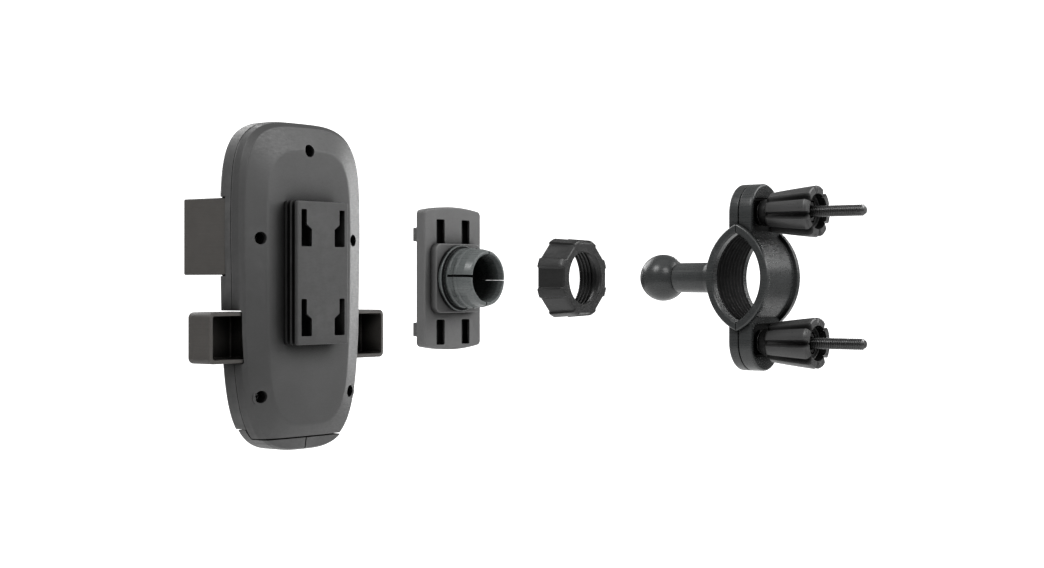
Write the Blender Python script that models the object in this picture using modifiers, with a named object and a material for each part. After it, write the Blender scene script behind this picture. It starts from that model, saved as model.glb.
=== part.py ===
"""A phone handlebar mount, with its main pieces drawn apart along one axis.

From +Y to -Y: two clamp halves with their bolts and thumb nuts, the ball stud, the ring nut, the
split socket, the claw plate, and the phone cradle. The handlebar lies along X through the origin,
Z is up, and the phone side of the cradle faces -Y. Lengths are in metres.
"""

import math

import bmesh
import bpy
from mathutils import Matrix, Vector

MM = 0.001
GAP = 0.3 * MM
SMOOTH_ANGLE = math.radians(35)
FLAT_ANGLE = math.radians(0.05)

# The two clamp halves: their bore is a lens made of two arcs that meet on the parting plane, Y = 0
BORE_HALF_HEIGHT = 15.5 * MM
BORE_DEPTH = 9.5 * MM
BORE_RADIUS = (BORE_HALF_HEIGHT**2 + BORE_DEPTH**2) / (2 * BORE_DEPTH)
STRAP_WALL = 3.0 * MM
STRAP_WIDTH = 24.0 * MM
LINER_WIDTH = 18.0 * MM
LINER_DEPTH = 1.1 * MM
LUG_RADIUS = 10.2 * MM
BASE_LUG = 4.0 * MM
CAP_LUG = 5.0 * MM
LUG_POCKET = 2.0 * MM
POCKET_HALF_WIDTH = 8.5 * MM
POCKET_LOW_Z = 16.2 * MM
POCKET_HIGH_Z = 28.0 * MM
POCKET_CORNER = 2.5 * MM
BOLT_Z = 22.8 * MM
BOLT_RADIUS = 2.0 * MM
BOLT_TIP = 44.0 * MM
BOLT_HEAD = 2.8 * MM
BOLT_HEAD_RADIUS = 4.0 * MM
CLEAR_RADIUS = BOLT_RADIUS + GAP
WASHER_RADIUS = 4.5 * MM
WASHER = 1.0 * MM

# Thumb nuts: a round hub, then an eight-lobed grip that widens away from the clamp
NUT_HUB_RADIUS = 4.8 * MM
NUT_HUB_Y = CAP_LUG - LUG_POCKET + 2 * GAP + WASHER + 0.15 * MM
NUT_GRIP_Y = 8.0 * MM
NUT_END_Y = 26.0 * MM
NUT_NARROW = 7.0 * MM
NUT_WIDE = 9.2 * MM
NUT_LOBES = 8
NUT_RECESS_RADIUS = 6.0 * MM
NUT_RECESS = 3.0 * MM
INSERT_RADIUS = 4.0 * MM
INSERT = 5.0 * MM

# Ball stud
BALL_Y = -38.0 * MM
BALL_RADIUS = 8.5 * MM
NECK_RADIUS = 5.35 * MM
NECK_ROOT_RADIUS = 6.2 * MM
NECK_ROOT_Y = -14.8 * MM
NECK_TAPER_Y = -18.0 * MM

# Ring nut
RING_LIP_Y = -73.3 * MM
RING_LENGTH = 12.0 * MM
RING_RADIUS = 15.8 * MM
RING_FLAT = 14.9 * MM
RING_TAPER = 0.94
RING_CHAMFER = 0.8 * MM
RING_RIBS = 8
RING_RIB_STEPS = ((-6, RING_RADIUS), (6, RING_RADIUS), (10, RING_FLAT), (35, RING_FLAT))
RING_BORE = 12.4 * MM
RING_MOUTH = 9.9 * MM
RING_LIP = 2.0 * MM
RING_CONE = 5.0 * MM

# Split socket (collet) and the plate that carries it
COLLET_MOUTH_Y = -121.0 * MM
COLLET_LENGTH = 18.0 * MM
COLLET_RADIUS = 12.0 * MM
COLLET_NOSE = 10.9 * MM
COLLET_BORE = 8.7 * MM
COLLET_BORE_DEPTH = 14.0 * MM
COLLET_SLIT = 1.5 * MM
COLLET_SLIT_DEPTH = 11.0 * MM
FLANGE_RADIUS = 13.2 * MM
FLANGE = 1.6 * MM
HUB_RADIUS = 6.0 * MM
PLATE_Y = COLLET_MOUTH_Y - COLLET_LENGTH
PLATE = 4.5 * MM
PLATE_WIDTH = 35.0 * MM
PLATE_HEIGHT = 54.0 * MM
PLATE_ARCH = 1.6 * MM
BOSS_HALF = 13.8 * MM
BOSS = 3.0 * MM
PLATE_BACK_Y = PLATE_Y - PLATE

# Four claws on the plate and the four L-shaped slots that take them: 20 mm by 38 mm pattern
COLUMN_X = 10.0 * MM
ROW_Z = 19.0 * MM
SLOT_HALF = 3.1 * MM
NARROW_SLOT = 3.2 * MM
SLOT_WIDE_TALL = 7.8 * MM
SLOT_NARROW_TALL = 8.0 * MM
CLAW_TALL = 5.5 * MM
CLAW_STEM = 2.5 * MM
CLAW_WIDE = 5.4 * MM
CLAW_REACH = 6.0 * MM
CLAW_HEAD = 2.4 * MM
CLAW_DROP = -1.5 * MM
WINDOW = 5.0 * MM
WINDOW_TALL = 10.0 * MM

# Slot plate on the cradle's back; its slots sit so that the claws meet their wide lower ends
PAD_FACE_Y = -211.5 * MM
PAD_PROUD = 8.0 * MM
PAD_HALF_WIDTH = 15.5 * MM
PAD_HALF_HEIGHT = 30.5 * MM
PAD_WALL = 2.0 * MM
PAD_SKIN = 2.5 * MM
PAD_Z = CLAW_DROP + SLOT_WIDE_TALL / 2

# Cradle shells
BACK_Y = PAD_FACE_Y - PAD_PROUD
CRADLE_Z = PAD_Z - 6.0 * MM
HALF_WIDTH = 37.0 * MM
HALF_HEIGHT = 71.0 * MM
SIDE_POWER = 3.4
END_POWER = 6.5
TAPER = 0.14
TAPER_TOP = 10.0 * MM
TAPER_SPAN = 70.0 * MM
OUTLINE_POINTS = 36
CRADLE_DEPTH = 18.3 * MM
FRONT_Y = BACK_Y - CRADLE_DEPTH
SEAM_Y = BACK_Y - 9.4 * MM
SHELL = 2.0 * MM
FOOT_SEAM_Z = CRADLE_Z - 64.0 * MM
FOOT_FRONT_SEAM_Z = CRADLE_Z - 60.0 * MM

# Cover screws: one at the top, two on each side facet
SCREW_SIDE_X = 28.0 * MM
SCREW_TOP_Z = CRADLE_Z + 58.5 * MM
SCREW_UPPER_Z = CRADLE_Z + 20.5 * MM
SCREW_LOWER_Z = CRADLE_Z - 46.0 * MM
SCREW_HEAD_RADIUS = 2.3 * MM
SCREW_RADIUS = 1.0 * MM
SCREW_HEAD_Y = BACK_Y - 5.0 * MM
BOSS_RADIUS = 3.8 * MM
BOSS_END_Y = BACK_Y - 10.0 * MM
POST_RADIUS = 2.8 * MM

# Side jaws on racks that share one pinion
JAW_Z = CRADLE_Z + 21.3 * MM
JAW_HALF_HEIGHT = 16.2 * MM
JAW_INNER_X = 34.4 * MM
JAW_OUTER_X = 36.2 * MM
JAW_BACK_Y = BACK_Y - 13.6 * MM
JAW_FRONT_Y = JAW_BACK_Y - 26.0 * MM
RACK_BACK_Y = FRONT_Y + 4.8 * MM
RACK_FRONT_Y = FRONT_Y + SHELL + GAP
PINION_RADIUS = 6.0 * MM
PINION_TEETH = 12
ADDENDUM = 0.8 * MM
DEDENDUM = 1.2 * MM
TOOTH_TIP = 0.35 * MM
TOOTH_ROOT = 0.75 * MM
RACK_DEPTH = 4.0 * MM
RACK_TIP_X = -26.0 * MM
RIB_REACH = 14.0 * MM
RIB_WIDTH = 3.0 * MM
AXLE_RADIUS = 1.5 * MM
PAD_ON_JAW = 1.2 * MM

# Springs that draw the jaws in
SPRING_RADIUS = 1.7 * MM
SPRING_WIRE = 0.35 * MM
SPRING_TURNS = 7
SPRING_Y = RACK_BACK_Y + 2.6 * MM
SPRING_POST_X = 29.5 * MM
SPRING_TAB_X = 8.0 * MM

# Lower side arms: trays that are open at the back, on tongues inside the cradle
ARM_Z = CRADLE_Z - 21.0 * MM
ARM_HALF_HEIGHT = 10.7 * MM
ARM_INNER_X = 28.0 * MM
ARM_OUTER_X = 52.5 * MM
ARM_BACK_Y = BACK_Y - 5.2 * MM
ARM_FRONT_Y = FRONT_Y - 0.9 * MM
ARM_WALL = 1.6 * MM
ARM_POCKET_X = 13.4 * MM
TONGUE_X = 15.5 * MM
TONGUE_HALF_HEIGHT = 7.0 * MM

# Folding feet at the bottom edge; their front upper edge is rounded about the hinge pin
FOOT_ROUND = 3.0 * MM
FOOT_FRONT_Y = FRONT_Y + 0.6 * MM
FOOT_STEP_Y = FRONT_Y + 6.6 * MM
FOOT_SWEEP_Y = FRONT_Y + 8.7 * MM
PIN_RADIUS = 0.8 * MM
PIN_Y = FOOT_FRONT_Y + FOOT_ROUND
PIN_Z = FOOT_FRONT_SEAM_Z - GAP - FOOT_ROUND
PIN_X = 9.0 * MM
PIN_HALF = 6.0 * MM
KNUCKLE_HALF = 2.5 * MM
KNUCKLE_RADIUS = 2.2 * MM

# Pad that the phone rests on
PHONE_PAD_HALF_WIDTH = 23.0 * MM
PHONE_PAD_LOW_Z = CRADLE_Z - 6.0 * MM
PHONE_PAD_HIGH_Z = CRADLE_Z + 55.0 * MM
PHONE_PAD = 1.2 * MM

COLOURS = {
    "cradle_plastic": ((0.085, 0.085, 0.088), 0.42, 0.0),
    "jaw_plastic": ((0.075, 0.066, 0.060), 0.50, 0.0),
    "plate_plastic": ((0.160, 0.160, 0.162), 0.45, 0.0),
    "socket_plastic": ((0.060, 0.064, 0.064), 0.30, 0.0),
    "clamp_plastic": ((0.038, 0.042, 0.041), 0.45, 0.0),
    "knob_plastic": ((0.030, 0.031, 0.031), 0.50, 0.0),
    "rubber": ((0.020, 0.020, 0.020), 0.85, 0.0),
    "black_steel": ((0.050, 0.050, 0.052), 0.35, 1.0),
    "zinc_steel": ((0.550, 0.560, 0.570), 0.30, 1.0),
}


# ---------------------------------------------------------------- scene helpers


def clear_scene():
    for old in list(bpy.data.objects):
        bpy.data.objects.remove(old, do_unlink=True)
    for old in list(bpy.data.collections):
        bpy.data.collections.remove(old)


def new_collection(name):
    made = bpy.data.collections.new(name)
    bpy.context.scene.collection.children.link(made)
    return made


clear_scene()
PARTS = new_collection("phone_handlebar_mount")
CUTTERS = new_collection("cutters")


def material(name, look):
    """A fresh material for one sub-part, from the look's colour, roughness and metallic value."""
    colour, roughness, metallic = COLOURS[look]
    made = bpy.data.materials.new(name + "_" + look)
    made.use_nodes = True
    shader = made.node_tree.nodes["Principled BSDF"]
    shader.inputs["Base Color"].default_value = (*colour, 1.0)
    shader.inputs["Roughness"].default_value = roughness
    shader.inputs["Metallic"].default_value = metallic
    made.diffuse_color = (*colour, 1.0)
    return made


def place(obj):
    """Put a new shape with the cutters until finish() makes it a part."""
    CUTTERS.objects.link(obj)
    obj.hide_render = True
    obj.display_type = "WIRE"
    return obj


def finish(obj, look, parent=None):
    """Make a shape one of the object's parts."""
    CUTTERS.objects.unlink(obj)
    PARTS.objects.link(obj)
    obj.hide_render = False
    obj.display_type = "TEXTURED"
    obj.data.materials.clear()
    obj.data.materials.append(material(obj.name, look))
    obj.data.shade_smooth()
    obj.data.set_sharp_from_angle(angle=SMOOTH_ANGLE)
    if parent:
        obj.parent = parent
        obj.matrix_parent_inverse = Matrix.Translation(parent.location).inverted()
    return obj


def pivot(name, x=0.0, y=0.0, z=0.0):
    """An empty on a joint's axis, which carries the pieces that the joint moves."""
    empty = bpy.data.objects.new(name, None)
    empty.location = (x, y, z)
    empty.empty_display_size = 0.01
    PARTS.objects.link(empty)
    return empty


def from_bmesh(name, shape):
    mesh = bpy.data.meshes.new(name)
    shape.to_mesh(mesh)
    shape.free()
    return place(bpy.data.objects.new(name, mesh))


def cut(obj, *cutters, operation="DIFFERENCE"):
    """Cut the cutters from a shape, one exact Boolean each."""
    for cutter in cutters:
        modifier = obj.modifiers.new(cutter.name, "BOOLEAN")
        modifier.operation = operation
        modifier.solver = "EXACT"
        modifier.object = cutter
    return obj


def join(obj, *others):
    return cut(obj, *others, operation="UNION")


def keep(obj, *others):
    return cut(obj, *others, operation="INTERSECT")


def bevel(obj, width, segments=1, angle=40):
    modifier = obj.modifiers.new("bevel", "BEVEL")
    modifier.width = width
    modifier.segments = segments
    modifier.limit_method = "ANGLE"
    modifier.angle_limit = math.radians(angle)
    return obj


# ---------------------------------------------------------------- shape helpers


def box(name, x, y, z):
    """A box between pairs of x, y and z values."""
    lows, highs = zip(*(sorted(pair) for pair in (x, y, z)))
    size = [high - low for low, high in zip(lows, highs)]
    centre = [(high + low) / 2 for low, high in zip(lows, highs)]
    shape = bmesh.new()
    bmesh.ops.create_cube(shape, size=1.0)
    bmesh.ops.scale(shape, vec=size, verts=shape.verts)
    bmesh.ops.translate(shape, vec=centre, verts=shape.verts)
    return from_bmesh(name, shape)


def rod(name, radius, y, x=0.0, z=0.0, sides=24, far_radius=None, along="Y"):
    """A cylinder or cone between two y values (or x values, along X), with radius at the first."""
    shape = bmesh.new()
    start, end = y
    turn = Matrix.Rotation(math.radians(-90), 4, "X")
    middle = Vector((x, (start + end) / 2, z))
    if along == "X":
        turn = Matrix.Rotation(math.radians(90), 4, "Y")
        middle = Vector(((start + end) / 2, x, z))
    if far_radius is None:
        far_radius = radius
    first, last = (radius, far_radius) if end > start else (far_radius, radius)
    bmesh.ops.create_cone(
        shape,
        cap_ends=True,
        segments=sides,
        radius1=first,
        radius2=last,
        depth=abs(end - start),
        matrix=Matrix.Translation(middle) @ turn,
    )
    return from_bmesh(name, shape)


def turned(name, profile, x=0.0, z=0.0, steps=32, closed=False):
    """A profile of (radius, y) points turned round an axis along Y, outer side first, from +Y down."""
    mesh = bpy.data.meshes.new(name)
    edges = [(i, i + 1) for i in range(len(profile) - 1)]
    if closed:
        edges.append((len(profile) - 1, 0))
    mesh.from_pydata([(radius, 0.0, y) for radius, y in profile], edges, [])
    obj = place(bpy.data.objects.new(name, mesh))
    obj.rotation_euler = (math.radians(-90), 0.0, 0.0)
    obj.location = (x, 0.0, z)
    screw = obj.modifiers.new("screw", "SCREW")
    screw.angle = math.tau
    screw.steps = steps
    screw.render_steps = steps
    screw.use_merge_vertices = True
    screw.merge_threshold = 0.00001
    return settled(obj)


def settled(obj):
    """A plain mesh of a curve or a modified object, welded, in its world place."""
    bpy.context.view_layer.update()
    depsgraph = bpy.context.evaluated_depsgraph_get()
    mesh = bpy.data.meshes.new_from_object(obj.evaluated_get(depsgraph))
    shape = bmesh.new()
    shape.from_mesh(mesh)
    bmesh.ops.remove_doubles(shape, verts=shape.verts, dist=0.000001)
    bmesh.ops.dissolve_degenerate(shape, dist=0.000001, edges=shape.edges)
    bmesh.ops.dissolve_limit(shape, angle_limit=FLAT_ANGLE, verts=shape.verts, edges=shape.edges)
    bmesh.ops.recalc_face_normals(shape, faces=shape.faces)
    shape.transform(obj.matrix_world)
    shape.to_mesh(mesh)
    shape.free()
    name = obj.name
    bpy.data.objects.remove(obj, do_unlink=True)
    mesh.name = name
    return place(bpy.data.objects.new(name, mesh))


def slab(name, outline, low, high, along="Y"):
    """A flat outline between two planes: (x, z) points along Y, or (y, z) points along X."""
    curve = bpy.data.curves.new(name, "CURVE")
    curve.dimensions = "2D"
    curve.fill_mode = "BOTH"
    curve.extrude = abs(high - low) / 2
    spline = curve.splines.new("POLY")
    spline.points.add(len(outline) - 1)
    for point, (u, v) in zip(spline.points, outline):
        point.co = (u, v, 0.0, 1.0)
    spline.use_cyclic_u = True
    obj = place(bpy.data.objects.new(name, curve))
    middle = (low + high) / 2
    if along == "Y":
        obj.matrix_world = Matrix.Translation((0.0, middle, 0.0)) @ Matrix.Rotation(math.radians(90), 4, "X")
    else:
        turn = Matrix(((0, 0, 1, 0), (1, 0, 0, 0), (0, 1, 0, 0), (0, 0, 0, 1)))
        obj.matrix_world = Matrix.Translation((middle, 0.0, 0.0)) @ turn
    return settled(obj)


def loft(name, rings, close_first=True, close_last=True):
    """A skin through rings of equal counts; each ring runs the same way round."""
    shape = bmesh.new()
    rows = [[shape.verts.new(point) for point in ring] for ring in rings]
    for row, following in zip(rows, rows[1:]):
        for i in range(len(row)):
            j = (i + 1) % len(row)
            shape.faces.new((row[i], row[j], following[j], following[i]))
    if close_first:
        shape.faces.new(rows[0])
    if close_last:
        shape.faces.new(rows[-1])
    bmesh.ops.recalc_face_normals(shape, faces=shape.faces)
    return from_bmesh(name, shape)


def arc(centre, radius, start, end, steps):
    """Points on an arc, with angles in degrees."""
    return [
        (
            centre[0] + radius * math.cos(math.radians(start + (end - start) * i / steps)),
            centre[1] + radius * math.sin(math.radians(start + (end - start) * i / steps)),
        )
        for i in range(steps + 1)
    ]


def rounded_rectangle(half_width, half_height, radius, steps=3, u=0.0, v=0.0):
    points = []
    for corner in range(4):
        side = 1 if corner in (0, 3) else -1
        level = 1 if corner < 2 else -1
        centre = (u + side * (half_width - radius), v + level * (half_height - radius))
        points += arc(centre, radius, 90 * corner, 90 * corner + 90, steps)
    return points


def lens_segment(depth, direction, parting):
    """The (y, z) outline of one side of a lens: its arc bulges by depth, and the parting plane closes it."""
    centre = -direction * (BORE_RADIUS - BORE_DEPTH)
    radius = BORE_RADIUS + depth
    half = math.degrees(math.acos((parting - centre * direction) / radius))
    points = arc((centre, 0.0), radius, -half, half, 16)
    if direction < 0:
        points = [(2 * centre - y, z) for y, z in points]
    return points


def lens(depth):
    """The (y, z) outline of the whole lens, grown by depth."""
    front = lens_segment(depth, 1, 0.0)
    rear = lens_segment(depth, -1, 0.0)
    return front + rear[::-1][1:-1]


def cradle_outline(inset, y, count=OUTLINE_POINTS):
    """The cradle's edge, inset by a distance, as 3-D points at one depth.

    It is a squarish oval whose sides draw in below the middle.
    """
    points = []
    for i in range(count):
        turn = math.tau * (i + 0.5) / count
        cosine, sine = math.cos(turn), math.sin(turn)
        x = math.copysign(abs(cosine) ** (2 / SIDE_POWER), cosine) * (HALF_WIDTH - inset)
        z = math.copysign(abs(sine) ** (2 / END_POWER), sine) * (HALF_HEIGHT - inset)
        draw_in = max(0.0, (TAPER_TOP - z) / TAPER_SPAN)
        points.append(Vector((x * (1 - TAPER * draw_in**2), y, CRADLE_Z + z)))
    return points


# ---------------------------------------------------------------- handlebar clamp


def lug_outline(radius, inner_z, sign):
    """The (x, z) outline of a bolt lug: a strip that ends round its bolt."""
    ends = arc((0.0, sign * BOLT_Z), radius, 0, sign * 180, 10)
    return [(radius, sign * inner_z)] + ends + [(-radius, sign * inner_z)]


def clamp_half(name, direction, lug):
    """One half: an arched strap with a lug above and below, hollowed for its liner, drilled for bolts."""
    parting = GAP / 2
    strap = slab(name, lens_segment(STRAP_WALL, direction, parting), -STRAP_WIDTH / 2, STRAP_WIDTH / 2, "X")
    for label, sign in (("upper", 1), ("lower", -1)):
        outline = lug_outline(LUG_RADIUS, BORE_HALF_HEIGHT - STRAP_WALL, sign)
        join(strap, slab(name + "_lug_" + label, outline, direction * parting, direction * (parting + lug)))
    cut(strap, slab(name + "_bore", lens(0.0), -STRAP_WIDTH, STRAP_WIDTH, "X"))
    cut(strap, slab(name + "_liner_bed", lens(LINER_DEPTH), -LINER_WIDTH / 2, LINER_WIDTH / 2, "X"))
    for label, sign in (("upper", 1), ("lower", -1)):
        hole = rod(name + "_hole_" + label, CLEAR_RADIUS, (-10 * MM, 10 * MM), z=sign * BOLT_Z, sides=16)
        cut(strap, hole)
    return strap


def clamp_base():
    half = clamp_half("clamp_base", -1, BASE_LUG)
    root = rod("neck_root", 8.0 * MM, (-BORE_DEPTH - 2 * MM, NECK_ROOT_Y + GAP), far_radius=NECK_ROOT_RADIUS)
    join(half, root)
    return finish(half, "clamp_plastic")


def clamp_cap(parent):
    half = clamp_half("clamp_cap", 1, CAP_LUG)
    face = GAP / 2 + CAP_LUG
    for label, sign in (("upper", 1), ("lower", -1)):
        half_height = (POCKET_HIGH_Z - POCKET_LOW_Z) / 2
        middle = sign * (POCKET_HIGH_Z + POCKET_LOW_Z) / 2
        outline = rounded_rectangle(POCKET_HALF_WIDTH, half_height, POCKET_CORNER, v=middle)
        cut(half, slab("cap_pocket_" + label, outline, face - LUG_POCKET, face + LUG_POCKET))
    return finish(half, "clamp_plastic", parent)


def bar_liner(name, direction, parent=None):
    """A thin rubber strip in one half's bore."""
    body = slab(
        name,
        lens_segment(LINER_DEPTH - GAP, direction, GAP),
        -LINER_WIDTH / 2 + GAP,
        LINER_WIDTH / 2 - GAP,
        "X",
    )
    cut(body, slab(name + "_bore", lens(0.0), -STRAP_WIDTH, STRAP_WIDTH, "X"))
    return finish(body, "rubber", parent)


def clamp_bolt(name, z):
    """A hexagon-head bolt that points to +Y."""
    under_head = -BASE_LUG - 1.5 * GAP
    tip = 0.6 * MM
    shank = turned(
        name,
        [
            (0.0, BOLT_TIP),
            (BOLT_RADIUS - tip, BOLT_TIP),
            (BOLT_RADIUS, BOLT_TIP - tip),
            (BOLT_RADIUS, under_head - BOLT_HEAD / 2),
            (0.0, under_head - BOLT_HEAD / 2),
        ],
        z=z,
        steps=16,
    )
    join(shank, rod(name + "_head", BOLT_HEAD_RADIUS, (under_head, under_head - BOLT_HEAD), z=z, sides=6))
    return finish(shank, "black_steel")


def washer(name, z, parent):
    seat = GAP / 2 + CAP_LUG - LUG_POCKET + GAP
    ring = turned(
        name,
        [
            (WASHER_RADIUS, seat + WASHER),
            (WASHER_RADIUS, seat),
            (CLEAR_RADIUS, seat),
            (CLEAR_RADIUS, seat + WASHER),
        ],
        z=z,
        steps=20,
        closed=True,
    )
    return finish(ring, "zinc_steel", parent)


def lobed_ring(radius, y, z, per_lobe=4):
    """A ring of round-topped lobes with a groove between each two."""
    points = []
    for i in range(NUT_LOBES * per_lobe):
        turn = math.tau * i / (NUT_LOBES * per_lobe)
        swell = (1.0, 0.96, 0.80, 0.96)[i % per_lobe]
        points.append(Vector((radius * swell * math.cos(turn), y, z + radius * swell * math.sin(turn))))
    return points


def thumb_nut(name, z, parent):
    """A plastic nut with a recess for its metal insert in the wide end."""
    grip = loft(
        name,
        [
            lobed_ring(NUT_NARROW, NUT_GRIP_Y, z),
            lobed_ring(NUT_WIDE, NUT_END_Y - 1.5 * MM, z),
            lobed_ring(NUT_WIDE * 0.95, NUT_END_Y, z),
        ],
    )
    hub = rod(name + "_hub", NUT_HUB_RADIUS, (NUT_HUB_Y, NUT_GRIP_Y + MM), z=z)
    bore = rod(name + "_bore", CLEAR_RADIUS, (0.0, BOLT_TIP), z=z, sides=16)
    recess = rod(name + "_recess", NUT_RECESS_RADIUS, (NUT_END_Y - NUT_RECESS, NUT_END_Y + MM), z=z)
    insert_floor = NUT_END_Y - NUT_RECESS - INSERT - GAP
    pocket = rod(
        name + "_pocket", INSERT_RADIUS + 1.2 * GAP, (insert_floor, NUT_END_Y), z=z, sides=6
    )
    cut(join(grip, hub), bore, recess, pocket)
    return finish(grip, "knob_plastic", parent)


def nut_insert(name, z, parent):
    """The hexagonal metal insert that carries a thumb nut's thread."""
    top = NUT_END_Y - NUT_RECESS
    body = rod(name, INSERT_RADIUS, (top - INSERT, top), z=z, sides=6)
    cut(body, rod(name + "_bore", CLEAR_RADIUS, (0.0, BOLT_TIP), z=z, sides=16))
    return finish(body, "zinc_steel", parent)


# ---------------------------------------------------------------- ball stud, ring nut and socket


def stud_neck(parent):
    """The stud's neck; its end is hollowed to sit round the ball."""
    seat = BALL_RADIUS + GAP
    widest = math.degrees(math.asin(NECK_RADIUS / seat))
    hollow = [
        (seat * math.sin(math.radians(a)), BALL_Y + seat * math.cos(math.radians(a)))
        for a in (widest, widest * 0.66, widest * 0.33)
    ]
    neck = turned(
        "stud_neck",
        [(0.0, NECK_ROOT_Y), (NECK_ROOT_RADIUS, NECK_ROOT_Y), (NECK_RADIUS, NECK_TAPER_Y)]
        + hollow
        + [(0.0, BALL_Y + seat)],
    )
    return finish(neck, "clamp_plastic", parent)


def stud_ball(parent):
    shape = bmesh.new()
    turn = Matrix.Rotation(math.radians(90), 4, "X")
    bmesh.ops.create_uvsphere(
        shape,
        u_segments=20,
        v_segments=12,
        radius=BALL_RADIUS,
        matrix=Matrix.Translation((0.0, BALL_Y, 0.0)) @ turn,
    )
    return finish(from_bmesh("stud_ball", shape), "clamp_plastic", parent)


def ribbed_ring(scale, y):
    """The ring nut's edge at one depth: ribs at the corners of an octagon."""
    points = []
    for i in range(RING_RIBS):
        for step, radius in RING_RIB_STEPS:
            angle = math.radians(360 * (i + 0.5) / RING_RIBS + step)
            points.append(Vector((scale * radius * math.cos(angle), y, scale * radius * math.sin(angle))))
    return points


def ring_nut(parent):
    """A grip ring: eight ribs outside, a threaded bore, and a cone that narrows to a lip at +Y."""
    low = RING_LIP_Y - RING_LENGTH
    end = 1 - RING_CHAMFER / RING_RADIUS
    ring = loft(
        "ring_nut",
        [
            ribbed_ring(end, low),
            ribbed_ring(1.0, low + RING_CHAMFER),
            ribbed_ring(RING_TAPER, RING_LIP_Y - RING_CHAMFER),
            ribbed_ring(RING_TAPER * end, RING_LIP_Y),
        ],
    )
    bore = turned(
        "ring_bore",
        [
            (0.0, RING_LIP_Y + MM),
            (RING_MOUTH, RING_LIP_Y + MM),
            (RING_MOUTH, RING_LIP_Y - RING_LIP),
            (RING_BORE - 1.0 * MM, RING_LIP_Y - RING_LIP),
            (RING_BORE, RING_LIP_Y - RING_CONE),
            (RING_BORE, low - MM),
            (0.0, low - MM),
        ],
    )
    return finish(cut(ring, bore), "knob_plastic", parent)


def socket_collet(parent):
    """The split socket: a tube with four slits, a flange, and a hub that turns in the plate."""
    flange_y = COLLET_MOUTH_Y - COLLET_LENGTH + BOSS + GAP
    floor_y = COLLET_MOUTH_Y - COLLET_BORE_DEPTH
    body = turned(
        "socket_collet",
        [
            (COLLET_NOSE, COLLET_MOUTH_Y),
            (COLLET_RADIUS, COLLET_MOUTH_Y - 3.5 * MM),
            (COLLET_RADIUS, flange_y + FLANGE),
            (FLANGE_RADIUS, flange_y + FLANGE),
            (FLANGE_RADIUS, flange_y),
            (HUB_RADIUS, flange_y),
            (HUB_RADIUS, PLATE_Y - PLATE + 1.0 * MM),
            (0.0, PLATE_Y - PLATE + 1.0 * MM),
            (0.0, floor_y),
            (COLLET_BORE, floor_y),
            (COLLET_BORE, COLLET_MOUTH_Y),
        ],
        closed=True,
    )
    slit_y = (COLLET_MOUTH_Y - COLLET_SLIT_DEPTH, COLLET_MOUTH_Y + MM)
    half = COLLET_SLIT / 2
    reach = COLLET_RADIUS + MM
    cut(body, box("slit_level", (-reach, reach), slit_y, (-half, half)))
    cut(body, box("slit_upright", (-half, half), slit_y, (-reach, reach)))
    return finish(body, "socket_plastic", parent)


def claw(name, x_sign, row):
    """An L-shaped claw: a stem on the outer side with a head that reaches towards the middle."""
    outer = x_sign * (COLUMN_X + SLOT_HALF - (NARROW_SLOT - CLAW_STEM) / 2)
    z = (row - CLAW_TALL / 2, row + CLAW_TALL / 2)
    stem = box(name, (outer, outer - x_sign * CLAW_STEM), (PLATE_BACK_Y + MM, PLATE_BACK_Y - CLAW_REACH), z)
    head_y = (PLATE_BACK_Y - CLAW_REACH, PLATE_BACK_Y - CLAW_REACH + CLAW_HEAD)
    return stem, box(name + "_head", (outer, outer - x_sign * CLAW_WIDE), head_y, z)


def claw_plate(parent):
    """The plate behind the socket: arched ends, a square boss, four windows and four claws."""
    half_width, half_height, radius = PLATE_WIDTH / 2, PLATE_HEIGHT / 2, 3.5 * MM
    outline = []
    for u, v in rounded_rectangle(half_width, half_height, radius):
        outline.append((u, v))
    crown = half_height + PLATE_ARCH
    outline.insert(4, (0.0, crown))
    outline.insert(13, (0.0, -crown))
    plate = slab("claw_plate", outline, PLATE_BACK_Y, PLATE_Y)
    bevel(plate, 0.6 * MM)
    boss_outline = rounded_rectangle(BOSS_HALF, BOSS_HALF, 3.0 * MM)
    boss = slab("plate_boss", boss_outline, PLATE_Y - MM, PLATE_Y + BOSS)
    join(plate, boss)
    for x_sign in (1, -1):
        for z_sign in (1, -1):
            row = CLAW_DROP + z_sign * ROW_Z
            label = "%s_%s" % ("near" if x_sign > 0 else "far", "top" if z_sign > 0 else "low")
            stem, head = claw("claw_" + label, x_sign, row)
            inner = x_sign * (COLUMN_X + SLOT_HALF - (NARROW_SLOT + CLAW_STEM) / 2)
            window = box(
                "window_" + label,
                (inner, inner - x_sign * WINDOW),
                (PLATE_BACK_Y - MM, PLATE_Y + MM),
                (row + z_sign * MM - WINDOW_TALL / 2, row + z_sign * MM + WINDOW_TALL / 2),
            )
            cut(join(plate, stem, head), window)
    cut(plate, rod("plate_bore", HUB_RADIUS + GAP, (PLATE_BACK_Y - MM, PLATE_Y + BOSS + MM)))
    return finish(plate, "plate_plastic", parent)


# ---------------------------------------------------------------- cradle


def screw_places():
    """(label, x, z) of each cover screw."""
    places = [("top", 0.0, SCREW_TOP_Z)]
    for side, sign in (("left", 1), ("right", -1)):
        places.append(("upper_" + side, sign * SCREW_SIDE_X, SCREW_UPPER_Z))
        places.append(("lower_" + side, sign * SCREW_SIDE_X * 0.96, SCREW_LOWER_Z))
    return places


def shell(name, stations):
    """A shell whose outer skin runs through (inset, y) stations; the last one is closed flat."""
    skin = loft(name, [cradle_outline(inset, y) for inset, y in stations], close_first=False)
    thick = skin.modifiers.new("shell", "SOLIDIFY")
    thick.thickness = SHELL
    thick.offset = -1.0
    return skin


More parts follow.
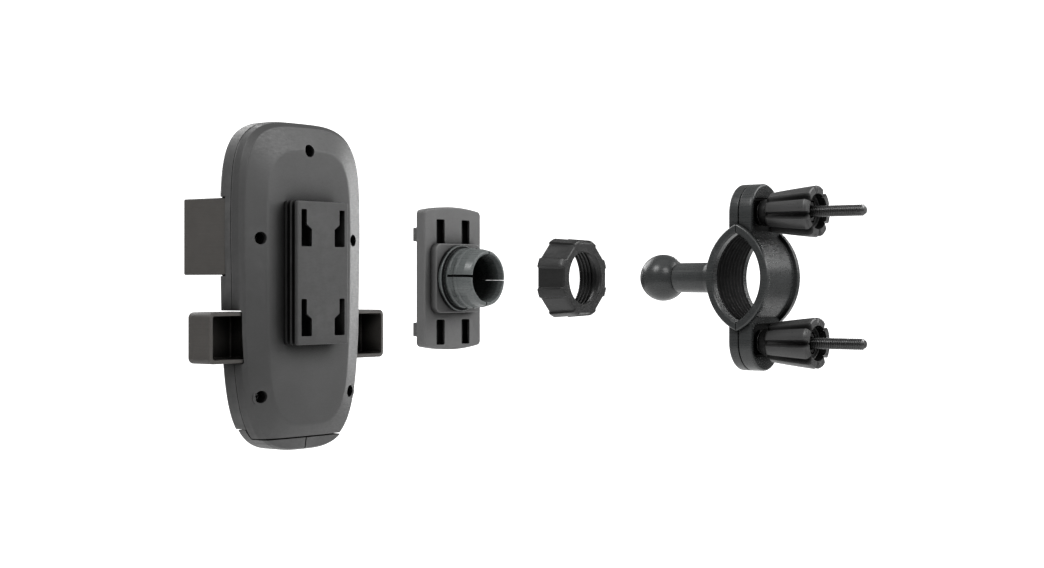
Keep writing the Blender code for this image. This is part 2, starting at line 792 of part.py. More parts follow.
def arm_opening(name, side):
    """The side pocket that a lower arm slides into, open to the front."""
    return box(
        name,
        (side * ARM_POCKET_X, side * 1.2 * HALF_WIDTH),
        (ARM_BACK_Y + 1.5 * GAP, ARM_FRONT_Y - MM),
        (ARM_Z - ARM_HALF_HEIGHT - 1.5 * GAP, ARM_Z + ARM_HALF_HEIGHT + 1.5 * GAP),
    )


def jaw_opening(name, side):
    """The notch in the side edge that a jaw stands in."""
    return box(
        name,
        (side * (JAW_INNER_X - 1.5 * GAP), side * 1.2 * HALF_WIDTH),
        (JAW_BACK_Y + 1.5 * GAP, FRONT_Y - MM),
        (JAW_Z - JAW_HALF_HEIGHT - 1.5 * GAP, JAW_Z + JAW_HALF_HEIGHT + 1.5 * GAP),
    )


def rack_opening(name, side):
    """The way through the side wall for a jaw's rack bar and rib."""
    top = PINION_RADIUS + DEDENDUM + RACK_DEPTH + 1.5 * GAP
    return box(
        name,
        (side * (JAW_INNER_X - RIB_WIDTH - 1.5 * GAP), side * 1.2 * HALF_WIDTH),
        (RACK_FRONT_Y - GAP / 2, RACK_BACK_Y + GAP / 2),
        (JAW_Z - side * (RIB_REACH + 1.5 * GAP), JAW_Z + side * top),
    )


def foot_space(name):
    """Everything below the feet's seam, which steps up towards the front."""
    low = CRADLE_Z - 1.2 * HALF_HEIGHT
    outline = [
        (BACK_Y + MM, low),
        (BACK_Y + MM, FOOT_SEAM_Z),
        (FOOT_SWEEP_Y, FOOT_SEAM_Z),
        (FOOT_SWEEP_Y, FOOT_FRONT_SEAM_Z),
        (FRONT_Y - MM, FOOT_FRONT_SEAM_Z),
        (FRONT_Y - MM, low),
    ]
    return slab(name, outline, -HALF_WIDTH, HALF_WIDTH, "X")


def back_cover(parent):
    """The rear shell: side wall, narrow chamfer, sloping facet and flat middle, with screw bosses."""
    cover = shell(
        "back_cover",
        [
            (0.0, SEAM_Y),
            (0.5 * MM, BACK_Y - 5.6 * MM),
            (2.2 * MM, BACK_Y - 3.4 * MM),
            (12.0 * MM, BACK_Y),
        ],
    )
    for label, x, z in screw_places():
        join(cover, rod("boss_" + label, BOSS_RADIUS, (BACK_Y - 3.2 * MM, BOSS_END_Y), x, z, sides=16))
    for label, x, z in screw_places():
        recess_y = (BACK_Y + MM, SCREW_HEAD_Y - 2 * MM)
        recess = rod("recess_" + label, SCREW_HEAD_RADIUS + GAP, recess_y, x, z, sides=16)
        hole = rod("hole_" + label, SCREW_RADIUS + GAP, (BACK_Y, BOSS_END_Y - MM), x, z, sides=12)
        cut(cover, recess, hole)
    for label, side in (("left", 1), ("right", -1)):
        cut(cover, arm_opening("arm_gap_back_" + label, side))
    cut(cover, foot_space("foot_gap_back"))
    return finish(cover, "cradle_plastic", parent)


def front_cover(parent):
    """The phone-side shell, with screw posts, the pinion's axle and the spring posts."""
    cover = shell(
        "front_cover",
        [
            (0.0, SEAM_Y - GAP),
            (0.0, FRONT_Y + 3.0 * MM),
            (1.2 * MM, FRONT_Y + 0.8 * MM),
            (3.0 * MM, FRONT_Y),
        ],
    )
    inside = FRONT_Y + SHELL / 2
    for label, x, z in screw_places():
        join(cover, rod("post_" + label, POST_RADIUS, (inside, BOSS_END_Y - GAP), x, z, sides=16))
        hole_end = FRONT_Y + 2 * MM
        cut(cover, rod("pilot_" + label, SCREW_RADIUS + GAP, (hole_end, BOSS_END_Y), x, z, sides=12))
    join(cover, rod("pinion_axle", AXLE_RADIUS, (inside, RACK_BACK_Y + 2 * MM), z=JAW_Z, sides=16))
    for label, side in (("left", 1), ("right", -1)):
        bar_z = JAW_Z + side * (PINION_RADIUS + DEDENDUM + RACK_DEPTH / 2)
        post_x = -side * SPRING_POST_X
        post = rod("spring_post_" + label, 1.2 * MM, (inside, SPRING_Y + 2 * MM), post_x, bar_z, sides=12)
        join(cover, post)
    for label, side in (("left", 1), ("right", -1)):
        cut(cover, arm_opening("arm_gap_front_" + label, side))
        cut(cover, jaw_opening("jaw_gap_" + label, side), rack_opening("rack_gap_" + label, side))
    cut(cover, foot_space("foot_gap_front"))
    for label, side in (("left", 1), ("right", -1)):
        x = (side * (PIN_X - KNUCKLE_HALF), side * (PIN_X + KNUCKLE_HALF))
        web_z = (PIN_Z, FOOT_FRONT_SEAM_Z + 4.0 * MM)
        web = box("hanger_web_" + label, x, (PIN_Y - KNUCKLE_RADIUS, PIN_Y + KNUCKLE_RADIUS * 0.8), web_z)
        knuckle = rod("hanger_knuckle_" + label, KNUCKLE_RADIUS, x, PIN_Y, PIN_Z, sides=16, along="X")
        eye_x = (side * MM, side * 20 * MM)
        eye = rod("hanger_eye_" + label, PIN_RADIUS + GAP, eye_x, PIN_Y, PIN_Z, 12, along="X")
        cut(join(cover, web, knuckle), eye)
    return finish(cover, "cradle_plastic", parent)


def cover_screw(label, x, z, parent):
    """A pan-head screw with its head towards +Y."""
    name = "cover_screw_" + label
    under = SCREW_HEAD_Y - 1.7 * MM
    crown = SCREW_HEAD_RADIUS * 0.7
    body = turned(
        name,
        [
            (0.0, SCREW_HEAD_Y),
            (crown, SCREW_HEAD_Y),
            (SCREW_HEAD_RADIUS, SCREW_HEAD_Y - 0.6 * MM),
            (SCREW_HEAD_RADIUS, under),
            (SCREW_RADIUS, under),
            (SCREW_RADIUS, FRONT_Y + 4.5 * MM),
            (0.0, FRONT_Y + 4.0 * MM),
        ],
        x=x,
        z=z,
        steps=12,
    )
    return finish(body, "black_steel", parent)


def slot_outline(x_sign, row):
    """An L-shaped slot: narrow above on the outer side, wide below towards the middle."""
    outer = COLUMN_X + SLOT_HALF
    inner = COLUMN_X - SLOT_HALF
    step = outer - NARROW_SLOT
    top = row + SLOT_NARROW_TALL
    low = row - SLOT_WIDE_TALL
    points = [(outer, low), (outer, top), (step, top), (step, row), (inner, row), (inner, low)]
    return [(x_sign * u, v) for u, v in points]


def slot_plate(parent):
    """The raised plate on the back that the claws lock into: hollow behind, grooved along its sides."""
    low, high = PAD_Z - PAD_HALF_HEIGHT, PAD_Z + PAD_HALF_HEIGHT
    back = BACK_Y + GAP
    pad = box("slot_plate", (-PAD_HALF_WIDTH, PAD_HALF_WIDTH), (back, PAD_FACE_Y), (low, high))
    bevel(pad, 0.7 * MM)
    hollow = box(
        "pad_hollow",
        (-PAD_HALF_WIDTH + PAD_WALL, PAD_HALF_WIDTH - PAD_WALL),
        (back - MM, PAD_FACE_Y - PAD_SKIN),
        (low + PAD_WALL, high - PAD_WALL),
    )
    cut(pad, hollow)
    for x_sign in (1, -1):
        for z_sign in (1, -1):
            outline = slot_outline(x_sign, PAD_Z + z_sign * ROW_Z)
            name = "slot_%d_%d" % (x_sign, z_sign)
            cut(pad, slab(name, outline, PAD_FACE_Y - 2 * PAD_SKIN, PAD_FACE_Y + MM))
        for i in range(2):
            groove_y = PAD_FACE_Y - 1.6 * MM - i * 2.8 * MM
            side = (x_sign * (PAD_HALF_WIDTH - 1.0 * MM), x_sign * (PAD_HALF_WIDTH + MM))
            groove_depth = (groove_y, groove_y - 1.8 * MM)
            cut(pad, box("groove_%d_%d" % (x_sign, i), side, groove_depth, (low - MM, high + MM)))
    return finish(pad, "cradle_plastic", parent)


def phone_pad(parent):
    half_height = (PHONE_PAD_HIGH_Z - PHONE_PAD_LOW_Z) / 2
    outline = rounded_rectangle(
        PHONE_PAD_HALF_WIDTH, half_height, 5.0 * MM, v=PHONE_PAD_LOW_Z + half_height
    )
    pad = slab("phone_pad", outline, FRONT_Y - GAP, FRONT_Y - GAP - PHONE_PAD)
    return finish(pad, "rubber", parent)


# ---------------------------------------------------------------- side jaws


def pinion(parent):
    """A spur gear that meshes with both racks, turned half a tooth so that a gap faces each rack tooth."""
    outline = []
    pitch = math.tau / PINION_TEETH
    root, tip = PINION_RADIUS - DEDENDUM, PINION_RADIUS + ADDENDUM
    for i in range(PINION_TEETH):
        centre = pitch * i
        for radius, half in ((root, -TOOTH_ROOT), (tip, -TOOTH_TIP), (tip, TOOTH_TIP), (root, TOOTH_ROOT)):
            angle = centre + half / radius
            outline.append((radius * math.sin(angle), JAW_Z + radius * math.cos(angle)))
    gear = slab("pinion", outline, RACK_FRONT_Y, RACK_BACK_Y - GAP)
    bore_y = (RACK_FRONT_Y - MM, RACK_BACK_Y + MM)
    cut(gear, rod("pinion_bore", AXLE_RADIUS + GAP, bore_y, z=JAW_Z, sides=16))
    return finish(gear, "socket_plastic", parent)


def rack_outline(side):
    """The (x, z) outline of a jaw's rack bar: teeth face the pinion, which is at x = 0."""
    pitch = math.tau * PINION_RADIUS / PINION_TEETH
    low = PINION_RADIUS + DEDENDUM
    tip = PINION_RADIUS - ADDENDUM
    end = (JAW_INNER_X + JAW_OUTER_X) / 2
    rib = JAW_INNER_X - RIB_WIDTH
    outline = [(rib, -RIB_REACH), (end, -RIB_REACH), (end, low + RACK_DEPTH)]
    outline += [(RACK_TIP_X, low + RACK_DEPTH), (RACK_TIP_X, low)]
    for i in range(-8, 2):
        centre = (i + 0.5) * pitch
        for offset, level in ((-TOOTH_ROOT, low), (-TOOTH_TIP, tip), (TOOTH_TIP, tip), (TOOTH_ROOT, low)):
            outline.append((centre + offset, level))
    outline.append((rib, low))
    return [(side * u, JAW_Z + side * v) for u, v in outline]


def side_jaw(label, side, parent):
    """A flat jaw that stands on the cradle's side edge, on a toothed bar that runs across the inside."""
    name = "side_jaw_" + label
    z = (JAW_Z - JAW_HALF_HEIGHT, JAW_Z + JAW_HALF_HEIGHT)
    jaw = box(name, (side * JAW_INNER_X, side * JAW_OUTER_X), (JAW_BACK_Y, JAW_FRONT_Y), z)
    bevel(jaw, 0.4 * MM)
    join(jaw, slab(name + "_rack", rack_outline(side), RACK_FRONT_Y, RACK_BACK_Y - GAP))
    bar_z = JAW_Z + side * (PINION_RADIUS + DEDENDUM + RACK_DEPTH / 2)
    tab = box(
        name + "_tab",
        (side * (SPRING_TAB_X - MM), side * (SPRING_TAB_X + MM)),
        (RACK_BACK_Y - MM, SPRING_Y + MM),
        (bar_z - 1.5 * MM, bar_z + 1.5 * MM),
    )
    join(jaw, tab)
    return finish(jaw, "jaw_plastic", parent)


def jaw_pad(label, side, parent):
    """The rubber face on a jaw's inner side."""
    x = (side * (JAW_INNER_X - GAP), side * (JAW_INNER_X - GAP - PAD_ON_JAW))
    half = JAW_HALF_HEIGHT - 2.0 * MM
    y = (FRONT_Y - 3.0 * MM, JAW_FRONT_Y + 1.5 * MM)
    pad = box("jaw_pad_" + label, x, y, (JAW_Z - half, JAW_Z + half))
    return finish(pad, "rubber", parent)


def jaw_spring(label, side, parent):
    """An extension spring between a post on the front cover and a tab on the jaw's bar."""
    bar_z = JAW_Z + side * (PINION_RADIUS + DEDENDUM + RACK_DEPTH / 2)
    start = -side * (SPRING_POST_X - 2.0 * MM)
    end = side * (SPRING_TAB_X - 1.6 * MM)
    curve = bpy.data.curves.new("jaw_spring_" + label, "CURVE")
    curve.dimensions = "3D"
    curve.bevel_depth = SPRING_WIRE
    curve.bevel_resolution = 1
    curve.use_fill_caps = True
    per_turn = 6
    count = SPRING_TURNS * per_turn
    spline = curve.splines.new("POLY")
    spline.points.add(count)
    for i, point in enumerate(spline.points):
        angle = math.tau * i / per_turn
        x = start + (end - start) * i / count
        point.co = (
            x,
            SPRING_Y + SPRING_RADIUS * math.cos(angle),
            bar_z + SPRING_RADIUS * math.sin(angle),
            1.0,
        )
    coil = settled(place(bpy.data.objects.new("jaw_spring_" + label, curve)))
    return finish(coil, "zinc_steel", parent)


# ---------------------------------------------------------------- lower arms and feet


def lower_arm(label, side, parent):
    """A tray that is open at the back, with a tongue that slides inside the cradle."""
    name = "lower_arm_" + label
    z = (ARM_Z - ARM_HALF_HEIGHT, ARM_Z + ARM_HALF_HEIGHT)
    arm = box(name, (side * ARM_INNER_X, side * ARM_OUTER_X), (ARM_BACK_Y, ARM_FRONT_Y), z)
    bevel(arm, 1.2 * MM, 2)
    hollow = box(
        name + "_hollow",
        (side * (ARM_INNER_X + ARM_WALL), side * (ARM_OUTER_X - ARM_WALL)),
        (ARM_BACK_Y + MM, ARM_FRONT_Y + ARM_WALL),
        (z[0] + ARM_WALL, z[1] - ARM_WALL),
    )
    cut(arm, hollow)
    tongue = box(
        name + "_tongue",
        (side * TONGUE_X, side * (ARM_INNER_X + 0.5 * MM)),
        (RACK_FRONT_Y, RACK_BACK_Y),
        (ARM_Z - TONGUE_HALF_HEIGHT, ARM_Z + TONGUE_HALF_HEIGHT),
    )
    join(arm, tongue)
    return finish(arm, "jaw_plastic", parent)


def foot(label, side, parent):
    """Half of the cradle's bottom edge, slotted for the hanger that carries its hinge pin."""
    name = "foot_" + label
    body = loft(
        name,
        [
            cradle_outline(1.5 * MM, BACK_Y - 2.6 * MM),
            cradle_outline(1.0 * MM, BACK_Y - 5.0 * MM),
            cradle_outline(1.0 * MM, FRONT_Y + 2.0 * MM),
            cradle_outline(2.0 * MM, FOOT_FRONT_Y),
        ],
    )
    low = CRADLE_Z - 1.1 * HALF_HEIGHT
    round_edge = arc((PIN_Y, PIN_Z), FOOT_ROUND, 90, 180, 6)
    section = [
        (BACK_Y, low),
        (BACK_Y, FOOT_SEAM_Z - GAP),
        (FOOT_STEP_Y, FOOT_SEAM_Z - GAP),
        (FOOT_STEP_Y, FOOT_FRONT_SEAM_Z - GAP),
        *round_edge,
        (FRONT_Y - MM, PIN_Z),
        (FRONT_Y - MM, low),
    ]
    keep(body, slab(name + "_half", section, side * GAP / 2, side * HALF_WIDTH, "X"))
    slot_x = (side * (PIN_X - KNUCKLE_HALF - GAP), side * (PIN_X + KNUCKLE_HALF + GAP))
    reach = KNUCKLE_RADIUS + GAP
    slot_y = (FRONT_Y - MM, PIN_Y + reach)
    slot = box(name + "_slot", slot_x, slot_y, (PIN_Z - reach, FOOT_FRONT_SEAM_Z + MM))
    bore_x = (side * (PIN_X - PIN_HALF - GAP), side * (PIN_X + PIN_HALF + GAP))
    cut(body, slot, rod(name + "_bore", PIN_RADIUS + GAP, bore_x, PIN_Y, PIN_Z, sides=12, along="X"))
    return finish(body, "cradle_plastic", parent)


def foot_pin(label, side, parent):
    x = (side * (PIN_X - PIN_HALF), side * (PIN_X + PIN_HALF))
    pin = rod("foot_pin_" + label, PIN_RADIUS, x, PIN_Y, PIN_Z, sides=12, along="X")
    return finish(pin, "zinc_steel", parent)


# ---------------------------------------------------------------- assembly


def build_clamp():
    cap = pivot("clamp_cap_slide")
    clamp_base()
    clamp_cap(cap)
    bar_liner("bar_liner_rear", -1)
    bar_liner("bar_liner_front", 1, cap)
    for label, z in (("upper", BOLT_Z), ("lower", -BOLT_Z)):
        spin = pivot("thumb_nut_axis_" + label, z=z)
        clamp_bolt("clamp_bolt_" + label, z)
        washer("washer_" + label, z, cap)
        thumb_nut("thumb_nut_" + label, z, spin)
        nut_insert("nut_insert_" + label, z, spin)


def build_coupling():
    centre = pivot("ball_centre", y=BALL_Y)
    stud_neck(centre)
    stud_ball(centre)
    ring_nut(pivot("ring_nut_axis", y=RING_LIP_Y))
    swivel = pivot("socket_axis", y=PLATE_Y)
    socket_collet(swivel)
    claw_plate(swivel)


def build_cradle():
    home = pivot("cradle_dock", y=BACK_Y, z=CRADLE_Z)
    back_cover(home)
    front_cover(home)
    slot_plate(home)
    phone_pad(home)
    for label, x, z in screw_places():
        cover_screw(label, x, z, home)
    pinion(pivot("pinion_spin", y=RACK_BACK_Y, z=JAW_Z))
    for label, side in (("left", 1), ("right", -1)):
        jaw_slide = pivot("jaw_slide_" + label, side * JAW_INNER_X, JAW_BACK_Y, JAW_Z)
        side_jaw(label, side, jaw_slide)
        jaw_pad(label, side, jaw_slide)
        jaw_spring(label, side, home)
        lower_arm(label, side, pivot("arm_slide_" + label, side * ARM_INNER_X, ARM_BACK_Y, ARM_Z))
        foot(label, side, pivot("foot_hinge_" + label, side * PIN_X, PIN_Y, PIN_Z))
        foot_pin(label, side, home)


build_clamp()
build_coupling()
build_cradle()
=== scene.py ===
"""Looks of the phone handlebar mount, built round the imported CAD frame.

The handlebar lies along X through the origin and Z is up. From +Y to -Y come the clamp with its bolts
and thumb nuts, the ball stud, the ring nut, the split socket with its claw plate, and the cradle,
whose phone side faces -Y. Lengths are in metres.
"""

import itertools
import math

import bmesh
import bpy
from mathutils import Matrix, Vector


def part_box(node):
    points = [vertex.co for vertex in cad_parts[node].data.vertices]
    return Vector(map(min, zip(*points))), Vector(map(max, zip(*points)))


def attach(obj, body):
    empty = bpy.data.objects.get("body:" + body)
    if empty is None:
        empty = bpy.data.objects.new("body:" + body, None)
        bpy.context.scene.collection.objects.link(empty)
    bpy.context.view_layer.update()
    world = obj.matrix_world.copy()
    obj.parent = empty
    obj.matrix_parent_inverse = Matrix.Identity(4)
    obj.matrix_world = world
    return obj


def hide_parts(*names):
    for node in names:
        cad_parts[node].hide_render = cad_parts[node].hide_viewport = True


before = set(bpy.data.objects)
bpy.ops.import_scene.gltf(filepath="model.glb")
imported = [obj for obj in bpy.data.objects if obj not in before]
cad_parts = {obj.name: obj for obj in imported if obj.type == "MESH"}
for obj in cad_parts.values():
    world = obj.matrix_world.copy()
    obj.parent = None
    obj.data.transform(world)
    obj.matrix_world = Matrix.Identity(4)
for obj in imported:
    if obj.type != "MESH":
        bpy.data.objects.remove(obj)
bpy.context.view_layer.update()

MM = 0.001
GAP = 0.3 * MM
HAIR = 0.02 * MM
ROUND_PIECES = itertools.count()


def low(node):
    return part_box(node)[0]


def high(node):
    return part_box(node)[1]


# ---- sizes, some of them read from the frame

# Clamp
BORE_HALF_HEIGHT = 15.5 * MM
BORE_DEPTH = 9.5 * MM
BORE_RADIUS = (BORE_HALF_HEIGHT**2 + BORE_DEPTH**2) / (2 * BORE_DEPTH)
STRAP_HALF = high("clamp_base").x
STRAP_WALL = 3.0 * MM
STRAP_CHAMFER = 0.55 * MM
LINER_HALF = 9.0 * MM
LINER_DEPTH = 1.1 * MM
BAND_DEPTH = 1.3 * MM
LUG_RADIUS = 10.2 * MM
ROOT_RADIUS = 9.6 * MM
ROOT_Y = low("clamp_base").y
BASE_LUG = 4.0 * MM
CAP_LUG = 5.0 * MM
CAP_FACE = GAP / 2 + CAP_LUG
BOLT_Z = high("clamp_cap").z - LUG_RADIUS
BOLT_RADIUS = 2.0 * MM
BOLT_HOLE = BOLT_RADIUS + GAP
BOLT_PITCH = 0.7 * MM
BOLT_HEAD = 2.8 * MM
BOLT_HEAD_RADIUS = 4.0 * MM
BOLT_TIP = high("clamp_bolt_upper").y
THREAD_START = 9.0 * MM
POCKET_LOW_Z = 16.2 * MM
POCKET_HIGH_Z = 28.0 * MM
POCKET_HALF_WIDTH = 8.5 * MM
POCKET_DEPTH = 2 * MM

# Thumb nuts
NUT_HUB_Y = low("thumb_nut_upper").y
NUT_END_Y = high("thumb_nut_upper").y
NUT_GRIP_Y = 8.0 * MM
NUT_HUB_RADIUS = 4.8 * MM
NUT_NARROW = 7.0 * MM
NUT_WIDE = high("thumb_nut_upper").x
NUT_LOBES = 8
NUT_RECESS = 3.0 * MM
INSERT_LENGTH = 5.0 * MM
INSERT_RADIUS = 4.0 * MM
GROOVE_HALF = 0.18

# Ball stud, ring nut, socket and claw plate
BALL_RADIUS = high("stud_ball").x
BALL_Y = high("stud_ball").y - BALL_RADIUS
NECK_RADIUS = 5.35 * MM
NECK_ROOT = 6.2 * MM
RING_HIGH = high("ring_nut").y
RING_LOW = low("ring_nut").y
RING_RADIUS = 15.8 * MM
RING_FLAT = 14.9 * MM
RING_TAPER = 0.94
RING_BORE = 12.4 * MM
RING_MOUTH = 9.9 * MM
MOUTH_Y = high("socket_collet").y
PLATE_BACK = low("socket_collet").y - 1.0 * MM
PLATE = 4.5 * MM
PLATE_FACE = PLATE_BACK + PLATE
BOSS = 3.0 * MM
CLAW_HALF = 2.75 * MM
COLUMN_X = 10.0 * MM
ROW_Z = 19.0 * MM

# Cradle
FACE_Y = high("slot_plate").y
PAD_Z = (low("slot_plate").z + high("slot_plate").z) / 2
PAD_HALF_WIDTH = high("slot_plate").x
PAD_HALF_HEIGHT = (high("slot_plate").z - low("slot_plate").z) / 2
BACK_Y = high("back_cover").y
FRONT_Y = low("front_cover").y
SEAM_Y = BACK_Y - 9.4 * MM
CRADLE_Z = PAD_Z - 6.0 * MM
HALF_WIDTH = 37.0 * MM
HALF_HEIGHT = 70.9 * MM
SIDE_POWER = 3.4
END_POWER = 6.5
TAPER = 0.14
TAPER_TOP = 10.0 * MM
TAPER_SPAN = 70.0 * MM
SHELL = 2.0 * MM

SCREW_HEAD_Y = high("cover_screw_top").y
SCREW_HEAD_RADIUS = high("cover_screw_top").x
SHANK_RADIUS = 1.2 * MM
BOSS_RADIUS = 3.7 * MM
BOSS_END_Y = BACK_Y - 10.0 * MM

# Jaws, arms and feet
JAW_Z = 17.7 * MM
JAW_HALF_HEIGHT = 16.2 * MM
JAW_INNER_X = 34.4 * MM
JAW_OUTER_X = 36.2 * MM
JAW_BACK_Y = -233.1 * MM
JAW_FRONT_Y = low("side_jaw_left").y
RACK_FRONT_Y = -235.5 * MM
RACK_BACK_Y = -233.3 * MM
RIB_REACH = 14.0 * MM
ARM_Z = (low("lower_arm_left").z + high("lower_arm_left").z) / 2
ARM_HALF_HEIGHT = (high("lower_arm_left").z - low("lower_arm_left").z) / 2
ARM_INNER_X = 28.0 * MM
ARM_OUTER_X = high("lower_arm_left").x
ARM_BACK_Y = high("lower_arm_left").y
ARM_FRONT_Y = low("lower_arm_left").y
ARM_POCKET_X = 13.4 * MM
FOOT_SEAM_Z = -67.6 * MM
FOOT_FRONT_SEAM_Z = -63.6 * MM
FOOT_SWEEP_Y = -229.1 * MM
FOOT_STEP_Y = -231.2 * MM
FOOT_FRONT_Y = -237.2 * MM
PIN_X = 9.0 * MM
PIN_Y = -234.2 * MM
PIN_Z = -66.9 * MM
PIN_HALF = 6.0 * MM
PIN_RADIUS = 0.8 * MM
KNUCKLE_HALF = 2.5 * MM
KNUCKLE_RADIUS = 2.2 * MM

# ---- mesh helpers


def new_object(name, mesh):
    obj = bpy.data.objects.new(name, mesh)
    bpy.context.scene.collection.objects.link(obj)
    return obj


def from_bmesh(name, shape):
    bmesh.ops.recalc_face_normals(shape, faces=shape.faces)
    mesh = bpy.data.meshes.new(name)
    shape.to_mesh(mesh)
    shape.free()
    return new_object(name, mesh)


def applied(obj):
    """The object with its modifiers' result as its mesh."""
    bpy.context.view_layer.update()
    depsgraph = bpy.context.evaluated_depsgraph_get()
    mesh = bpy.data.meshes.new_from_object(obj.evaluated_get(depsgraph))
    obj.modifiers.clear()
    old = obj.data
    obj.data = mesh
    if old.users == 0:
        bpy.data.meshes.remove(old)
    return obj


def tidied(obj, angle=0.3):
    """The mesh with doubled points welded and flat neighbours merged."""
    shape = bmesh.new()
    shape.from_mesh(obj.data)
    bmesh.ops.remove_doubles(shape, verts=shape.verts, dist=0.005 * MM)
    bmesh.ops.dissolve_degenerate(shape, dist=0.005 * MM, edges=shape.edges)
    bmesh.ops.dissolve_limit(
        shape, angle_limit=math.radians(angle), verts=shape.verts, edges=shape.edges
    )
    shape.to_mesh(obj.data)
    shape.free()
    return obj


def boolean(obj, operation, others):
    """Exact Booleans with each of the others in turn; the others are then removed."""
    for other in others:
        modifier = obj.modifiers.new("boolean", "BOOLEAN")
        modifier.operation = operation
        modifier.solver = "EXACT"
        modifier.object = other
        applied(obj)
        bpy.data.objects.remove(other, do_unlink=True)
    return obj


def cut(obj, *others):
    return boolean(obj, "DIFFERENCE", others)


def join(obj, *others):
    return boolean(obj, "UNION", others)


def keep(obj, other):
    return boolean(obj, "INTERSECT", [other])


def bevel(obj, width):
    modifier = obj.modifiers.new("bevel", "BEVEL")
    modifier.width = width
    modifier.segments = 2
    modifier.limit_method = "ANGLE"
    modifier.angle_limit = math.radians(30)
    return applied(obj)


def smooth(obj, angle):
    """Smooth shading with sharp edges, and normals that follow the larger faces."""
    obj.data.shade_smooth()
    obj.data.set_sharp_from_angle(angle=math.radians(angle))
    modifier = obj.modifiers.new("normals", "WEIGHTED_NORMAL")
    modifier.keep_sharp = True
    return applied(obj)


def box(name, x, y, z):
    """A box between pairs of x, y and z values."""
    lows, highs = zip(*(sorted(pair) for pair in (x, y, z)))
    size = [top - bottom for bottom, top in zip(lows, highs)]
    centre = [(top + bottom) / 2 for bottom, top in zip(lows, highs)]
    shape = bmesh.new()
    bmesh.ops.create_cube(shape, size=1.0)
    bmesh.ops.scale(shape, vec=size, verts=shape.verts)
    bmesh.ops.translate(shape, vec=centre, verts=shape.verts)
    return from_bmesh(name, shape)


def arc(centre, radius, start, end, steps):
    """Points on an arc, with angles in degrees."""
    points = []
    for i in range(steps + 1):
        angle = math.radians(start + (end - start) * i / steps)
        points.append((centre[0] + radius * math.cos(angle), centre[1] + radius * math.sin(angle)))
    return points


def filleted(points, steps=4, closed=False):
    """A 2-D outline from (u, v, radius) corners, each rounded by its own radius."""
    result = []
    count = len(points)
    for i, (u, v, radius) in enumerate(points):
        corner = Vector((u, v))
        if radius == 0 or (not closed and i in (0, count - 1)):
            result.append((u, v))
            continue
        before = Vector(points[i - 1][:2]) - corner
        after = Vector(points[(i + 1) % count][:2]) - corner
        half = before.angle(after) / 2
        reach = radius / math.tan(half)
        reach = min(reach, before.length * 0.499, after.length * 0.499)
        size = reach * math.tan(half)
        middle = corner + (before.normalized() + after.normalized()).normalized() * (size / math.sin(half))
        start = corner + before.normalized() * reach - middle
        end = corner + after.normalized() * reach - middle
        sweep = start.angle_signed(end)
        for k in range(steps + 1):
            turned_by = Matrix.Rotation(-sweep * k / steps, 2)
            result.append(tuple(middle + turned_by @ start))
    return result


def rounded_box_outline(half_u, half_v, radius, u=0.0, v=0.0, steps=6):
    corners = [(1, 1), (-1, 1), (-1, -1), (1, -1)]
    return filleted([(u + a * half_u, v + b * half_v, radius) for a, b in corners], steps, closed=True)


def loft(name, rings):
    """A skin through rings of equal counts, closed by a face on its first and last ring."""
    shape = bmesh.new()
    rows = [[shape.verts.new(point) for point in ring] for ring in rings]
    for row, following in zip(rows, rows[1:]):
        for i in range(len(row)):
            j = (i + 1) % len(row)
            shape.faces.new((row[i], row[j], following[j], following[i]))
    shape.faces.new(rows[0])
    shape.faces.new(rows[-1])
    return from_bmesh(name, shape)


def slab(name, outline, start, end, along="Y", edges=(0.0, 0.0)):
    """A flat outline between two planes: (x, z) points along Y, or (y, z) points along X.

    Each plane's rim may be rounded by its own radius.
    """
    sign = 1 if end > start else -1
    stations = []
    for at, radius, inwards in ((start, edges[0], sign), (end, edges[1], -sign)):
        if radius == 0:
            stations.append([(at, 0.0)])
            continue
        curve = []
        for k in range(5):
            angle = math.pi / 2 * k / 4
            curve.append((at + inwards * radius * (1 - math.sin(angle)), radius * (1 - math.cos(angle))))
        stations.append(curve[::-1])
    rings = []
    for at, inset in stations[0] + stations[1][::-1]:
        points = inset_outline(outline, inset)
        rings.append([(u, at, v) if along == "Y" else (at, u, v) for u, v in points])
    return loft(name, rings)


def inset_outline(points, distance):
    """The outline moved inwards by a distance, along each corner's bisector."""
    if distance == 0:
        return points
    count = len(points)
    area = sum(points[i - 1][0] * points[i][1] - points[i][0] * points[i - 1][1] for i in range(count))
    turn = 1 if area > 0 else -1
    moved = []
    for i in range(count):
        here = Vector(points[i])
        into = (here - Vector(points[i - 1])).normalized()
        out = (Vector(points[(i + 1) % count]) - here).normalized()
        normal_in = Vector((-into.y, into.x)) * turn
        normal_out = Vector((-out.y, out.x)) * turn
        bisector = (normal_in + normal_out).normalized()
        scale = 1 / max(0.35, bisector.dot(normal_in))
        moved.append(tuple(here + bisector * distance * scale))
    return moved


def next_phase(steps):
    """A fresh start angle, so that round pieces cut by each other never share corner points."""
    golden_share = 0.618034
    return math.tau / steps * (next(ROUND_PIECES) * golden_share % 1.0)


